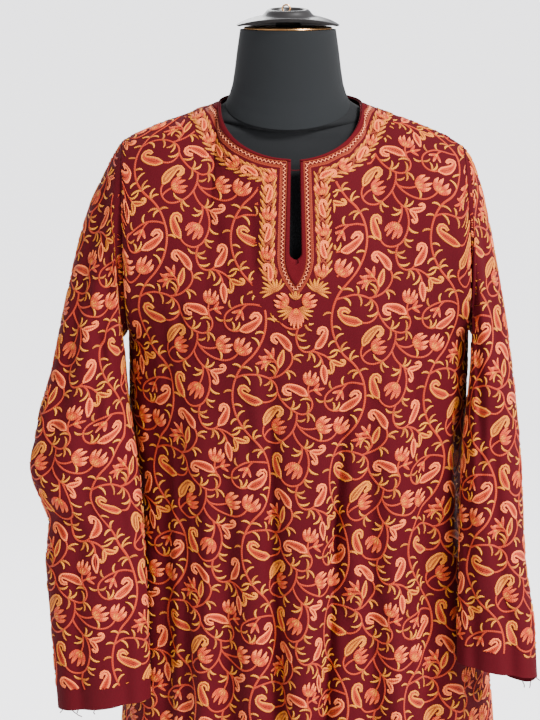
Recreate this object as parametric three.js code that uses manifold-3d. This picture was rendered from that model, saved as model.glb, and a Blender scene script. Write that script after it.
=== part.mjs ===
// Pheran, a loose long-sleeved tunic, worn by a limbless dress form on a stand.
// Millimetres, +Z up, front towards -Y, origin on the floor at the middle of the stand's base.
import Module from "manifold-3d";
import * as THREE from "three";
import { mergeVertices } from "three/addons/utils/BufferGeometryUtils.js";

// Cloth walls and the gaps that keep the cut pieces apart
const WALL = 1.6;
const SEAM_GAP = 0.4;
const LAID_GAP = 0.6;
const FACING_THICKNESS = 0.9;

// Heights above the floor
const HEM = 280;
const UNDERARM = 1135;

// Neckline: an oval round the neck, and the slit cut down from its front
const NECK_MID = 2;
const NECK_HALF = 83;
const NECK_SHARE = 0.42;
const NECK = { front: { drop: 58, y: -86, bend: 1.67 }, back: { drop: -10, y: 66, bend: 1.25 } };
const SLIT = { x: 7, top: 1338, end: 1234, topHalf: 5.1, lowHalf: 6.9 };
const NECK_STRIP = { shoulder: 8, centre: 2.2 };
const SLIT_STRIP = { half: 12.5, shoulderEnd: 1234, point: 1202 };

// Body of the garment, one row for each height: how far it reaches left, right, forward and back
const BODY = [
  { z: 280, left: -226, right: 270, front: -146, back: 138 },
  { z: 480, left: -214, right: 262, front: -140, back: 132 },
  { z: 690, left: -202, right: 249, front: -133, back: 126 },
  { z: 850, left: -192, right: 223, front: -128, back: 120 },
  { z: 950, left: -187, right: 213, front: -125, back: 116 },
  { z: 1050, left: -190, right: 213, front: -123, back: 113 },
  { z: 1100, left: -190, right: 214, front: -122, back: 110 },
  { z: 1135, left: -190, right: 214, front: -121, back: 108 },
];
const BODY_SQUARENESS = 2.33;

// Shoulder seam, from the side of the neck out to the armhole
const SHOULDER = [
  { x: 60, z: 1410 },
  { x: 84, z: 1402 },
  { x: 120, z: 1390 },
  { x: 160, z: 1375.5 },
  { x: 187, z: 1363 },
  { x: 208, z: 1350 },
];
const TIP = { left: -196, right: 206 };

// Way of the cloth from the underarm level up to the neckline and shoulder seam:
// at the low end and the high end, how far each column of cloth leans out and rises
const YOKE = {
  front: [
    { u: 0, lowY: -8, lowZ: 60, highY: -26, highZ: -62 },
    { u: 0.2, lowY: -8, lowZ: 72, highY: -32, highZ: -54 },
    { u: 0.33, lowY: -8, lowZ: 86, highY: -48, highZ: -36 },
    { u: 0.42, lowY: -8, lowZ: 95, highY: -62, highZ: -18 },
    { u: 0.75, lowY: -40, lowZ: 85, highY: -84, highZ: -14 },
    { u: 1, lowY: -96, lowZ: 6, highY: -90, highZ: -14 },
  ],
  back: [
    { u: 0, lowY: 6, lowZ: 85, highY: 26, highZ: -36 },
    { u: 0.42, lowY: 6, lowZ: 100, highY: 60, highZ: 6 },
    { u: 0.75, lowY: 40, lowZ: 90, highY: 84, highZ: -14 },
    { u: 1, lowY: 96, lowZ: 6, highY: 90, highZ: -14 },
  ],
};

// Folds that hang in the body: where each starts, its place there and at the hem,
// its depth (negative stands proud), its half width, and how far its edge leans over
const FOLDS = {
  front: [
    { start: 1165, x: -146, hemX: -150, depth: 11, width: 9, lean: 0 },
    { start: 1140, x: -130, hemX: -112, depth: 9, width: 8, lean: 0 },
    { start: 1215, x: -104, hemX: -94, depth: -5, width: 14, lean: 0 },
    { start: 1050, x: -75, hemX: -69, depth: 15, width: 15, lean: 0 },
    { start: 1300, x: -44, hemX: -42, depth: -5, width: 15, lean: 0 },
    { start: 1190, x: -26, hemX: -7, depth: 17, width: 11, lean: 5 },
    { start: 1010, x: 16, hemX: 18, depth: -9, width: 20, lean: 0 },
    { start: 1180, x: 73, hemX: 26, depth: 21, width: 12, lean: -7 },
    { start: 1190, x: 92, hemX: 110, depth: 13, width: 11, lean: 0 },
    { start: 1080, x: 130, hemX: 142, depth: -8, width: 18, lean: 0 },
    { start: 1120, x: 160, hemX: 180, depth: 13, width: 12, lean: 0 },
    { start: 1200, x: 184, hemX: 214, depth: -5, width: 12, lean: 0 },
  ],
  back: [
    { start: 1160, x: -140, hemX: -160, depth: 13, width: 13, lean: 0 },
    { start: 1080, x: -96, hemX: -104, depth: -7, width: 18, lean: 0 },
    { start: 1240, x: -58, hemX: -62, depth: 17, width: 14, lean: 0 },
    { start: 1120, x: -10, hemX: -4, depth: 12, width: 13, lean: 0 },
    { start: 1060, x: 28, hemX: 34, depth: -8, width: 20, lean: 0 },
    { start: 1250, x: 66, hemX: 82, depth: 18, width: 14, lean: 0 },
    { start: 1090, x: 118, hemX: 136, depth: -6, width: 18, lean: 0 },
    { start: 1160, x: 156, hemX: 192, depth: 14, width: 13, lean: 0 },
  ],
};
const FOLD_RUN = 260;

// Sleeves from armhole to cuff: outer and inner edge in the front view, the middle's
// distance forward, half the tube's depth, and how much lower its back hangs
const SLEEVES = {
  left: [
    { t: 0, outX: -196, outZ: 1357, inX: -190, inZ: 1135, y: 0, half: 70, drop: 0 },
    { t: 0.08, outX: -216, outZ: 1323, inX: -197, inZ: 1121, y: -4, half: 69, drop: 0 },
    { t: 0.2, outX: -240, outZ: 1265, inX: -195, inZ: 1092, y: -14, half: 62, drop: 0 },
    { t: 0.34, outX: -264, outZ: 1166, inX: -189, inZ: 1046, y: -34, half: 54, drop: 0 },
    { t: 0.45, outX: -280, outZ: 1087, inX: -182, inZ: 1004, y: -50, half: 49, drop: 0 },
    { t: 0.52, outX: -295, outZ: 1035, inX: -177, inZ: 972, y: -59, half: 47, drop: 0 },
    { t: 0.6, outX: -304, outZ: 975, inX: -173, inZ: 932, y: -69, half: 46, drop: 0 },
    { t: 0.67, outX: -285, outZ: 919, inX: -171, inZ: 894, y: -77, half: 43, drop: 0 },
    { t: 0.76, outX: -286, outZ: 861, inX: -168, inZ: 846, y: -87, half: 40, drop: 0 },
    { t: 0.88, outX: -280, outZ: 779, inX: -165, inZ: 779, y: -96, half: 35, drop: 0 },
    { t: 1, outX: -274, outZ: 696, inX: -163, inZ: 709, y: -103, half: 31, drop: 0 },
  ],
  right: [
    { t: 0, outX: 206, outZ: 1352, inX: 214, inZ: 1135, y: 0, half: 70, drop: 0 },
    { t: 0.08, outX: 219, outZ: 1331, inX: 220, inZ: 1122, y: -4, half: 68, drop: 0 },
    { t: 0.2, outX: 234, outZ: 1271, inX: 219, inZ: 1092, y: -14, half: 62, drop: 0 },
    { t: 0.34, outX: 251, outZ: 1178, inX: 213, inZ: 1051, y: -34, half: 54, drop: 0 },
    { t: 0.45, outX: 261, outZ: 1109, inX: 207, inZ: 1013, y: -50, half: 49, drop: 0 },
    { t: 0.6, outX: 272, outZ: 998, inX: 203, inZ: 943, y: -76, half: 43, drop: 2 },
    { t: 0.76, outX: 278, outZ: 879, inX: 200, inZ: 864, y: -95, half: 38, drop: 6 },
    { t: 0.88, outX: 289, outZ: 806, inX: 199, inZ: 813, y: -103, half: 33, drop: 14 },
    { t: 1, outX: 294, outZ: 737, inX: 198, inZ: 755, y: -109, half: 28, drop: 24 },
  ],
};

// How far the sleeves' front side hangs in towards the body, and from where this fades
const SLEEVE_SKEW = { reach: 10, from: 0.6 };

// Folds along the sleeves: place round the tube (degrees from the outer edge towards
// the front), start, end, depth and half width in degrees
const SLEEVE_FOLDS = {
  left: [
    { at: 38, start: 0.02, end: 0.62, depth: 9, width: 13 },
    { at: 84, start: 0.1, end: 0.7, depth: 6, width: 12 },
    { at: 120, start: 0.3, end: 1.1, depth: 7, width: 12 },
    { at: 62, start: 0.6, end: 1.1, depth: 6, width: 12 },
    { at: 250, start: 0.08, end: 0.75, depth: 9, width: 15 },
    { at: 300, start: 0.4, end: 1.1, depth: 6, width: 14 },
  ],
  right: [
    { at: 42, start: 0.02, end: 0.5, depth: 7, width: 13 },
    { at: 95, start: 0.06, end: 0.66, depth: 8, width: 12 },
    { at: 70, start: 0.45, end: 1.1, depth: 7, width: 12 },
    { at: 128, start: 0.3, end: 1.1, depth: 6, width: 12 },
    { at: 245, start: 0.06, end: 0.7, depth: 8, width: 15 },
    { at: 290, start: 0.35, end: 1.1, depth: 7, width: 14 },
  ],
};

// Dress form: one row for each height, with the tilt of the ring towards the front
const TORSO = [
  { z: 792, half: 146, front: 88, back: 80, square: 2.2, tiltFront: 0, tiltBack: 0 },
  { z: 830, half: 160, front: 98, back: 88, square: 2.2, tiltFront: 0, tiltBack: 0 },
  { z: 900, half: 163, front: 99, back: 90, square: 2.2, tiltFront: 0, tiltBack: 0 },
  { z: 980, half: 155, front: 97, back: 88, square: 2.2, tiltFront: 0, tiltBack: 0 },
  { z: 1060, half: 146, front: 94, back: 86, square: 2.2, tiltFront: 0, tiltBack: 0 },
  { z: 1150, half: 153, front: 102, back: 90, square: 2.2, tiltFront: 0, tiltBack: 0 },
  { z: 1215, half: 162, front: 104, back: 92, square: 2.2, tiltFront: 0, tiltBack: 0 },
  { z: 1270, half: 173, front: 94, back: 90, square: 2.15, tiltFront: 0, tiltBack: 0 },
  { z: 1310, half: 181, front: 80, back: 80, square: 2.05, tiltFront: 0, tiltBack: 0 },
  { z: 1338, half: 182, front: 71, back: 68, square: 1.75, tiltFront: 0, tiltBack: 0 },
  { z: 1352, half: 177, front: 65, back: 58, square: 1.55, tiltFront: 0.02, tiltBack: 0 },
  { z: 1367.5, half: 169, front: 58, back: 48, square: 1.42, tiltFront: 0.06, tiltBack: 0 },
  { z: 1379.7, half: 141, front: 57, back: 45, square: 1.4, tiltFront: 0.18, tiltBack: 0.02 },
  { z: 1389, half: 104, front: 58, back: 40, square: 1.36, tiltFront: 0.3, tiltBack: 0.04 },
  { z: 1401, half: 73, front: 63, back: 49, square: 2, tiltFront: 0.4, tiltBack: 0.38 },
];
const NECK_FORM = [
  { z: 1401.3, half: 73, front: 63, back: 49, square: 2, tiltFront: 0.4, tiltBack: 0.38 },
  { z: 1412, half: 68.5, front: 60, back: 50, square: 2, tiltFront: 0.35, tiltBack: 0.35 },
  { z: 1424, half: 65, front: 57.5, back: 50, square: 2, tiltFront: 0.3, tiltBack: 0.3 },
  { z: 1440, half: 62.5, front: 56, back: 50.5, square: 2, tiltFront: 0.2, tiltBack: 0.2 },
  { z: 1464, half: 59.5, front: 55, back: 51, square: 2, tiltFront: 0.08, tiltBack: 0.08 },
  { z: 1488, half: 56, front: 54, back: 52, square: 2, tiltFront: 0, tiltBack: 0 },
];
const NECK_FORM_X = -1;
const NECK_TOP = 1488;

// Fittings on the neck, and the stand
const PLATE = { radius: 52, thickness: 2.6 };
const CAP_SEAT = NECK_TOP + PLATE.thickness + 0.6;
const CAP_RIM = { arch: 13, hang: 2.5, boss: 32, outer: 59 };
const CAP_TILT = 4.5;
const CAP_TOP = [
  { radius: 59, z: 0.7 },
  { radius: 59.6, z: 2.6 },
  { radius: 50, z: 7.6 },
  { radius: 40, z: 10.4 },
  { radius: 32, z: 12 },
  { radius: 28.5, z: 14.5 },
  { radius: 25, z: 18.6 },
  { radius: 22, z: 20 },
  { radius: 19.5, z: 19.2 },
  { radius: 16.5, z: 15.2 },
  { radius: 8, z: 14.4 },
];
const CAP_UNDER = [
  { radius: 57.4, z: 0.4 },
  { radius: 49, z: 4.6 },
  { radius: 38, z: 7.4 },
  { radius: 22, z: 9 },
  { radius: 15, z: 8 },
  { radius: 14, z: 0 },
  { radius: 7, z: 0 },
];
const LOOP = { radius: 4.6, wire: 1.1 };
const STAND = { pole: 16, base: 205, plate: 9, hub: 38, hubTop: 46, flange: 60, flangeThickness: 8 };

const COLOURS = {
  cloth: { color: 0x7a1a28, roughness: 0.85, metalness: 0 },
  facing: { color: 0x86202c, roughness: 0.8, metalness: 0 },
  cover: { color: 0x25282a, roughness: 0.9, metalness: 0 },
  neck: { color: 0x2f3537, roughness: 0.85, metalness: 0 },
  plastic: { color: 0x1d1e20, roughness: 0.25, metalness: 0 },
  brass: { color: 0xc79a5a, roughness: 0.3, metalness: 1 },
  steel: { color: 0x9a9c9e, roughness: 0.3, metalness: 1 },
};

const wasm = await Module();
wasm.setup();

// Value of one column of a table at a place along its first named column, as a smooth curve.
function along(rows, by, at, column) {
  const last = rows.length - 1;
  const clamped = Math.min(Math.max(at, rows[0][by]), rows[last][by]);
  let i = 0;
  while (i < last - 1 && clamped > rows[i + 1][by]) i += 1;
  const slope = (k) => {
    const before = rows[Math.max(k - 1, 0)];
    const after = rows[Math.min(k + 1, last)];
    return (after[column] - before[column]) / (after[by] - before[by]);
  };
  const [a, b] = [rows[i], rows[i + 1]];
  const span = b[by] - a[by];
  const s = (clamped - a[by]) / span;
  const blend = s * s * (3 - 2 * s);
  const bend = s * (1 - s) * span;
  return a[column] + (b[column] - a[column]) * blend + bend * ((1 - s) * slope(i) - s * slope(i + 1));
}

function smooth(from, to, at) {
  const s = Math.min(Math.max((at - from) / (to - from), 0), 1);
  return s * s * (3 - 2 * s);
}

// Share of the half width that column u of a panel has reached, from -1 to 1.
function across(u) {
  return 0.65 * Math.sin((u * Math.PI) / 2) + 0.35 * u;
}

// Point of the body's section at one height, without folds; faceY is -1 in front and 1 behind.
function section(faceY, u, z) {
  const left = along(BODY, "z", z, "left");
  const right = along(BODY, "z", z, "right");
  const depth = along(BODY, "z", z, faceY < 0 ? "front" : "back");
  const share = Math.min(Math.abs(across(u)), 1);
  const x = (left + right) / 2 + (across(u) * (right - left)) / 2;
  const y = depth * (1 - share ** BODY_SQUARENESS) ** (1 / BODY_SQUARENESS);
  return new THREE.Vector3(x, y, z);
}

function shoulderHeight(x) {
  return along(SHOULDER, "x", Math.abs(x), "z");
}

// Top edge of a panel: the neckline in the middle, the shoulder seam on both sides.
function topEdge(faceY, u) {
  const sign = Math.sign(u) || 1;
  const neck = faceY < 0 ? NECK.front : NECK.back;
  const neckX = NECK_MID + sign * NECK_HALF;
  if (Math.abs(u) <= NECK_SHARE) {
    const forward = Math.max(Math.cos(((Math.abs(u) / NECK_SHARE) * Math.PI) / 2), 0);
    const low = forward ** neck.bend;
    const x = NECK_MID + sign * NECK_HALF * Math.sqrt(1 - low * low);
    return new THREE.Vector3(x, neck.y * forward, shoulderHeight(neckX) - neck.drop * low);
  }
  const share = (Math.abs(u) - NECK_SHARE) / (1 - NECK_SHARE);
  const tip = sign < 0 ? TIP.left : TIP.right;
  const x = neckX + (tip - neckX) * share;
  return new THREE.Vector3(x, 0, shoulderHeight(x));
}

// Column of the front panel whose neckline point lies at this x.
function frontNeckColumn(x) {
  const low = Math.sqrt(1 - ((x - NECK_MID) / NECK_HALF) ** 2);
  const turn = Math.acos(low ** (1 / NECK.front.bend));
  return Math.sign(x - NECK_MID) * (turn / (Math.PI / 2)) * NECK_SHARE;
}

// Displacement of the cloth by the hanging folds at a place: inwards, and sideways.
function foldAt(faceY, x, z) {
  let inward = 0;
  let sideways = 0;
  for (const fold of faceY < 0 ? FOLDS.front : FOLDS.back) {
    const fallen = (fold.start - z) / (fold.start - HEM);
    if (fallen > 0) {
      const grown = smooth(0, FOLD_RUN, fold.start - z);
      const d = (x - fold.x - (fold.hemX - fold.x) * fallen) / (fold.width * (1 + 0.5 * fallen));
      const size = grown * (0.75 + 0.55 * fallen);
      inward += size * fold.depth * Math.exp(-d * d);
      sideways += size * fold.lean * Math.exp(-((d - Math.sign(-fold.lean)) ** 2));
    }
  }
  return { inward, sideways };
}

// Point of a body panel. Level runs 0 to 1 from hem to underarm and 1 to 2 up to the top edge.
function panelPoint(faceY, u, level) {
  let p;
  if (level <= 1) {
    p = section(faceY, u, HEM + (UNDERARM - HEM) * level);
  } else {
    const w = level - 1;
    const rows = faceY < 0 ? YOKE.front : YOKE.back;
    const start = section(faceY, u, UNDERARM);
    const end = topEdge(faceY, u);
    const value = (column) => along(rows, "u", Math.abs(u), column);
    const low = start.clone().add(new THREE.Vector3(0, value("lowY"), value("lowZ")));
    const high = end.clone().add(new THREE.Vector3(0, value("highY"), value("highZ")));
    p = new THREE.CubicBezierCurve3(start, low, high, end).getPoint(w);
  }
  const keep = 1 - Math.abs(u) ** 10;
  const fold = foldAt(faceY, p.x, p.z);
  const share = Math.min(Math.abs(across(u)), 1);
  const normal = new THREE.Vector3(
    (Math.sign(u) * share ** 1.33) / 2,
    (faceY * (1 - share ** 2) ** 0.57) / 1.2,
    0,
  ).normalize();
  p.addScaledVector(normal, -fold.inward * keep);
  p.x += fold.sideways * keep;
  return p;
}

// Grid of points with its outward normals, from a function of row and column.
function gridOf(rows, columns, pointAt, closed = false) {
  const points = rows.map((r) => columns.map((c) => pointAt(r, c)));
  const last = columns.length - 1;
  const normals = points.map((row, i) =>
    row.map((p, j) => {
      const up = points[Math.min(i + 1, rows.length - 1)][j];
      const down = points[Math.max(i - 1, 0)][j];
      const next = row[closed ? (j + 1) % (last + 1) : Math.min(j + 1, last)];
      const before = row[closed ? (j + last) % (last + 1) : Math.max(j - 1, 0)];
      const side = next.clone().sub(before);
      return side.cross(up.clone().sub(down)).normalize();
    }),
  );
  return { points, normals };
}

// Closed wall between an outer and an inner grid of points with the same rows and columns.
function wallBetween(outer, inner, closed = false) {
  const rows = outer.length;
  const columns = outer[0].length;
  const all = [...outer.flat(), ...inner.flat()];
  const vertices = all.flatMap((p) => [p.x, p.y, p.z]);
  const at = (layer, i, j) => layer * rows * columns + i * columns + (j % columns);
  const index = [];
  const quad = (a, b, c, d) => {
    const shortWay = all[a].distanceTo(all[c]) <= all[b].distanceTo(all[d]);
    index.push(...(shortWay ? [a, b, c, a, c, d] : [b, c, d, b, d, a]));
  };
  const lastColumn = closed ? columns : columns - 1;
  for (let i = 0; i < rows - 1; i += 1) {
    for (let j = 0; j < lastColumn; j += 1) {
      quad(at(0, i, j), at(0, i, j + 1), at(0, i + 1, j + 1), at(0, i + 1, j));
      quad(at(1, i + 1, j), at(1, i + 1, j + 1), at(1, i, j + 1), at(1, i, j));
    }
  }
  for (let j = 0; j < lastColumn; j += 1) {
    quad(at(0, 0, j + 1), at(0, 0, j), at(1, 0, j), at(1, 0, j + 1));
    quad(at(0, rows - 1, j), at(0, rows - 1, j + 1), at(1, rows - 1, j + 1), at(1, rows - 1, j));
  }
  for (let i = 0; i < rows - 1 && !closed; i += 1) {
    const end = columns - 1;
    quad(at(0, i, 0), at(0, i + 1, 0), at(1, i + 1, 0), at(1, i, 0));
    quad(at(0, i + 1, end), at(0, i, end), at(1, i, end), at(1, i + 1, end));
  }
  const geometry = new THREE.BufferGeometry();
  geometry.setAttribute("position", new THREE.Float32BufferAttribute(vertices, 3));
  geometry.setIndex(index);
  return mergeVertices(geometry, 1e-4);
}

// Closed body through rings of points, with a flat cap at both ends.
function bodyThrough(rings) {
  const count = rings[0].length;
  const vertices = rings.flat().flatMap((p) => [p.x, p.y, p.z]);
  const index = [];
  for (let i = 0; i < rings.length - 1; i += 1) {
    for (let j = 0; j < count; j += 1) {
      const [a, b] = [i * count + j, i * count + ((j + 1) % count)];
      index.push(a, b, b + count, a, b + count, a + count);
    }
  }
  const top = (rings.length - 1) * count;
  for (let j = 1; j < count - 1; j += 1) {
    index.push(0, j + 1, j);
    index.push(top, top + j, top + j + 1);
  }
  const geometry = new THREE.BufferGeometry();
  geometry.setAttribute("position", new THREE.Float32BufferAttribute(vertices, 3));
  geometry.setIndex(index);
  return geometry;
}

function span(from, to, steps) {
  return Array.from({ length: steps + 1 }, (_, i) => from + ((to - from) * i) / steps);
}

function mesh(name, geometry, colour) {
  const made = new THREE.Mesh(geometry, new THREE.MeshStandardMaterial(COLOURS[colour]));
  made.name = name;
  return made;
}

// Front or back panel: a wall whose seam edges stop half a seam gap short of the next piece.
function panelGrids(faceY, shoulderSteps, neckSteps, lowSteps, yokeSteps) {
  const shoulder = faceY * NECK_SHARE;
  const order = [
    ...span(faceY, shoulder, shoulderSteps),
    ...span(shoulder, -shoulder, neckSteps).slice(1, -1),
    ...span(-shoulder, -faceY, shoulderSteps),
  ];
  const yoke = span(0, 1, yokeSteps).slice(1).map((s) => 2 - (1 - s) ** 1.35);
  const levels = [...span(0, 1, lowSteps), ...yoke];
  const { points, normals } = gridOf(levels, order, (level, u) => panelPoint(faceY, u, level));
  const end = order.length - 1;
  levels.forEach((level, i) => {
    order.forEach((u, j) => {
      const atSide = j === 0 || j === end;
      const onShoulder = i === levels.length - 1 && Math.abs(u) > NECK_SHARE - 1e-6;
      if (atSide && level <= 1) normals[i][j].set(Math.sign(u), 0, 0);
      if (onShoulder) normals[i][j].set(0, 0, 1);
      if (atSide || onShoulder) points[i][j].y += (faceY * SEAM_GAP) / 2;
      if (atSide && level >= 1) points[i][j].x -= (Math.sign(u) * SEAM_GAP) / 2;
    });
  });
  const inner = points.map((row, i) =>
    row.map((p, j) => p.clone().addScaledVector(normals[i][j], -WALL)),
  );
  return { points, inner };
}

function asSolid(geometry) {
  const merged = mergeVertices(geometry.index ? geometry.toNonIndexed() : geometry, 1e-4);
  return new wasm.Manifold(
    new wasm.Mesh({
      numProp: 3,
      vertProperties: merged.attributes.position.array,
      triVerts: new Uint32Array(merged.index.array),
    }),
  );
}

function asGeometry(solid) {
  const made = solid.getMesh();
  const geometry = new THREE.BufferGeometry();
  geometry.setAttribute("position", new THREE.Float32BufferAttribute(made.vertProperties, 3));
  geometry.setIndex(new THREE.BufferAttribute(made.triVerts, 1));
  return geometry;
}

// Outline of the slit in the front view, open above the neckline and round at its end.
function slitCutter() {
  const shape = new THREE.Shape();
  const round = SLIT.end + SLIT.lowHalf;
  const above = SLIT.top + 30;
  shape.moveTo(SLIT.x - SLIT.topHalf, above);
  shape.lineTo(SLIT.x - SLIT.topHalf, SLIT.top);
  shape.lineTo(SLIT.x - SLIT.lowHalf, round);
  shape.absarc(SLIT.x, round, SLIT.lowHalf, Math.PI, 2 * Math.PI, false);
  shape.lineTo(SLIT.x + SLIT.topHalf, SLIT.top);
  shape.lineTo(SLIT.x + SLIT.topHalf, above);
  const depth = 200;
  const geometry = new THREE.ExtrudeGeometry(shape, { depth, bevelEnabled: false, curveSegments: 8 });
  geometry.deleteAttribute("normal");
  geometry.deleteAttribute("uv");
  return geometry.rotateX(Math.PI / 2).translate(0, -20, 0);
}

function frontPanel() {
  const { points, inner } = panelGrids(-1, 13, 18, 10, 12);
  const whole = asSolid(wallBetween(points, inner));
  return asGeometry(whole.subtract(asSolid(slitCutter())));
}

function backPanel() {
  const { points, inner } = panelGrids(1, 9, 13, 9, 10);
  return wallBetween(points, inner);
}

// Point on the armhole's edge, for an angle round the sleeve from the shoulder tip forwards.
function armholePoint(side, angle) {
  const turn = angle <= 180 ? angle : 360 - angle;
  const u = side === "left" ? -1 : 1;
  const p = panelPoint(angle <= 180 ? -1 : 1, u, 2 - turn / 180);
  p.x += (u * SEAM_GAP) / 2;
  return p;
}

// Point of a sleeve, for its share of the way to the cuff and an angle round the tube.
function sleevePoint(side, t, angle) {
  const rows = SLEEVES[side];
  const value = (column) => along(rows, "t", t, column);
  const outer = new THREE.Vector3(value("outX"), value("y"), value("outZ"));
  const inner = new THREE.Vector3(value("inX"), value("y"), value("inZ"));
  const turn = THREE.MathUtils.degToRad(angle);
  const half = outer.clone().sub(inner).multiplyScalar(0.5);
  const p = outer.clone().add(inner).multiplyScalar(0.5);
  let reach = 1;
  for (const fold of SLEEVE_FOLDS[side]) {
    const grown = smooth(fold.start, fold.start + 0.12, t) * (1 - smooth(fold.end - 0.12, fold.end, t));
    const d = (angle - fold.at) / fold.width;
    reach -= (grown * fold.depth * Math.exp(-d * d)) / value("half");
  }
  p.addScaledVector(half, Math.cos(turn) * (0.75 + 0.25 * reach));
  p.y -= value("half") * Math.sin(turn) * reach;
  const inwards = side === "left" ? 1 : -1;
  p.x += inwards * SLEEVE_SKEW.reach * (1 - smooth(SLEEVE_SKEW.from, 1, t)) * Math.sin(turn);
  p.z -= value("drop") * Math.max(-Math.sin(turn), 0) * Math.max(Math.cos(turn) + 0.3, 0);
  const joined = 1 - smooth(0, 0.16, t);
  const edge = armholePoint(side, angle);
  const start = new THREE.Vector3(rows[0].outX + rows[0].inX, 0, rows[0].outZ + rows[0].inZ);
  const moved = edge.sub(start.multiplyScalar(0.5));
  const middle = outer.add(inner).multiplyScalar(0.5);
  return p.lerp(middle.add(moved), joined);
}

function sleeve(side) {
  const around = 24;
  const turns = span(0, 360, around).slice(0, -1);
  const order = side === "left" ? turns : turns.map((a) => (360 - a) % 360);
  const steps = [...span(0, 0.2, 4), ...span(0.2, 1, 13).slice(1)].reverse();
  const { points, normals } = gridOf(steps, order, (t, a) => sleevePoint(side, t, a), true);
  const armhole = steps.length - 1;
  normals[armhole].forEach((normal) => {
    normal.x = 0;
    normal.normalize();
  });
  const inner = points.map((row, i) =>
    row.map((p, j) => p.clone().addScaledVector(normals[i][j], -WALL)),
  );
  return wallBetween(points, inner, true);
}

// Dense points of both panels near the neckline, on which the facings are laid.
const NEAR_NECK = [-1, 1].flatMap((faceY) => {
  const columns = span(-0.62, 0.62, 150);
  const ordered = faceY < 0 ? columns : columns.reverse();
  const levels = span(faceY < 0 ? 1.18 : 1.7, 2, faceY < 0 ? 90 : 40);
  const { points, normals } = gridOf(levels, ordered, (level, u) => panelPoint(faceY, u, level));
  return points.flatMap((row, i) => row.map((point, j) => ({ point, normal: normals[i][j] })));
});

// The target moved onto the cloth's outer face, with the cloth's normal there.
function onCloth(target, byFrontView = false) {
  let best = null;
  let least = Infinity;
  for (const sample of NEAR_NECK) {
    const d = sample.point.clone().sub(target);
    if (byFrontView) d.y = sample.point.y < 0 ? 0 : 1000;
    if (d.lengthSq() < least) {
      least = d.lengthSq();
      best = sample;
    }
  }
  const point = target.clone();
  if (byFrontView) {
    point.y = best.point.y;
    const off = point.clone().sub(best.point).dot(best.normal);
    point.y -= off / best.normal.y;
  } else {
    point.addScaledVector(best.normal, -point.clone().sub(best.point).dot(best.normal));
  }
  return { point, normal: best.normal };
}

// Flat strip laid on the cloth: each station is a list of targets from edge to edge.
function laidStrip(stations, byFrontView) {
  const laid = stations.map((row) => row.map((target) => onCloth(target, byFrontView)));
  const lift = (height) =>
    laid.map((row) => row.map(({ point, normal }) => point.clone().addScaledVector(normal, height)));
  return wallBetween(lift(LAID_GAP + FACING_THICKNESS), lift(LAID_GAP));
}

// Plain strip round the neckline, from one side of the slit round the back to the other.
function neckFacing() {
  const away = new THREE.Vector3(1, 0, -0.36).normalize();
  const down = { front: new THREE.Vector3(0, -0.4, -0.92), back: new THREE.Vector3(0, 0.66, -0.75) };
  const stationAt = (faceY, u) => {
    const edge = topEdge(faceY, u);
    const turn = ((u / NECK_SHARE) * Math.PI) / 2;
    const out = away.clone().multiplyScalar(Math.sin(turn));
    out.z = -Math.abs(out.z);
    out.addScaledVector(faceY < 0 ? down.front : down.back, Math.cos(turn)).normalize();
    const narrow = faceY < 0 ? Math.cos(turn) ** 2 : 0;
    const width = NECK_STRIP.shoulder + (NECK_STRIP.centre - NECK_STRIP.shoulder) * narrow;
    return [0.2, width / 2, width].map((off) => edge.clone().addScaledVector(out, off));
  };
  const clear = 0.6;
  const startU = frontNeckColumn(SLIT.x + SLIT.topHalf + clear);
  const endU = frontNeckColumn(SLIT.x - SLIT.topHalf - clear);
  const stations = [
    ...span(startU, NECK_SHARE, 12).map((u) => stationAt(-1, u)),
    ...span(NECK_SHARE, -NECK_SHARE, 20).slice(1, -1).map((u) => stationAt(1, u)),
    ...span(-NECK_SHARE, endU, 12).map((u) => stationAt(-1, u)),
  ];
  return laidStrip(stations, false);
}

// Plain placket round the slit, straight beside it and pointed below its round end.
function slitFacing() {
  const topZ = (x) => topEdge(-1, frontNeckColumn(x)).z - NECK_STRIP.centre - 1.2;
  const round = SLIT.end + SLIT.lowHalf;
  const clear = 0.5;
  const edgeOf = (sign) => [
    { inX: SLIT.topHalf + clear, inZ: null, outX: SLIT_STRIP.half, outZ: null },
    { inX: 5.7 + clear, inZ: 1312, outX: SLIT_STRIP.half, outZ: 1312 },
    { inX: 6.4 + clear, inZ: 1278, outX: SLIT_STRIP.half, outZ: 1278 },
    { inX: SLIT.lowHalf + clear, inZ: round + 4, outX: SLIT_STRIP.half, outZ: SLIT_STRIP.shoulderEnd + 10 },
    { inX: 5.2 + clear, inZ: SLIT.end + 1.6, outX: 8.5, outZ: 1224 },
  ].map(({ inX, inZ, outX, outZ }) => {
    const [a, b] = [SLIT.x + sign * inX, SLIT.x + sign * outX];
    return [new THREE.Vector3(a, 0, inZ ?? topZ(a)), new THREE.Vector3(b, 0, outZ ?? topZ(b))];
  });
  const bottom = [
    new THREE.Vector3(SLIT.x, 0, SLIT.end - clear),
    new THREE.Vector3(SLIT.x, 0, SLIT_STRIP.point),
  ];
  const corners = [...edgeOf(-1), bottom, ...edgeOf(1).reverse()];
  const stations = corners.flatMap(([a, b], i) => {
    const [nextA, nextB] = corners[Math.min(i + 1, corners.length - 1)];
    const parts = i === corners.length - 1 ? [0] : [0, 0.5];
    return parts.map((s) => [a.clone().lerp(nextA, s), b.clone().lerp(nextB, s)]);
  });
  return laidStrip(stations.map(([a, b]) => [a, a.clone().lerp(b, 0.5), b]), true);
}

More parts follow.
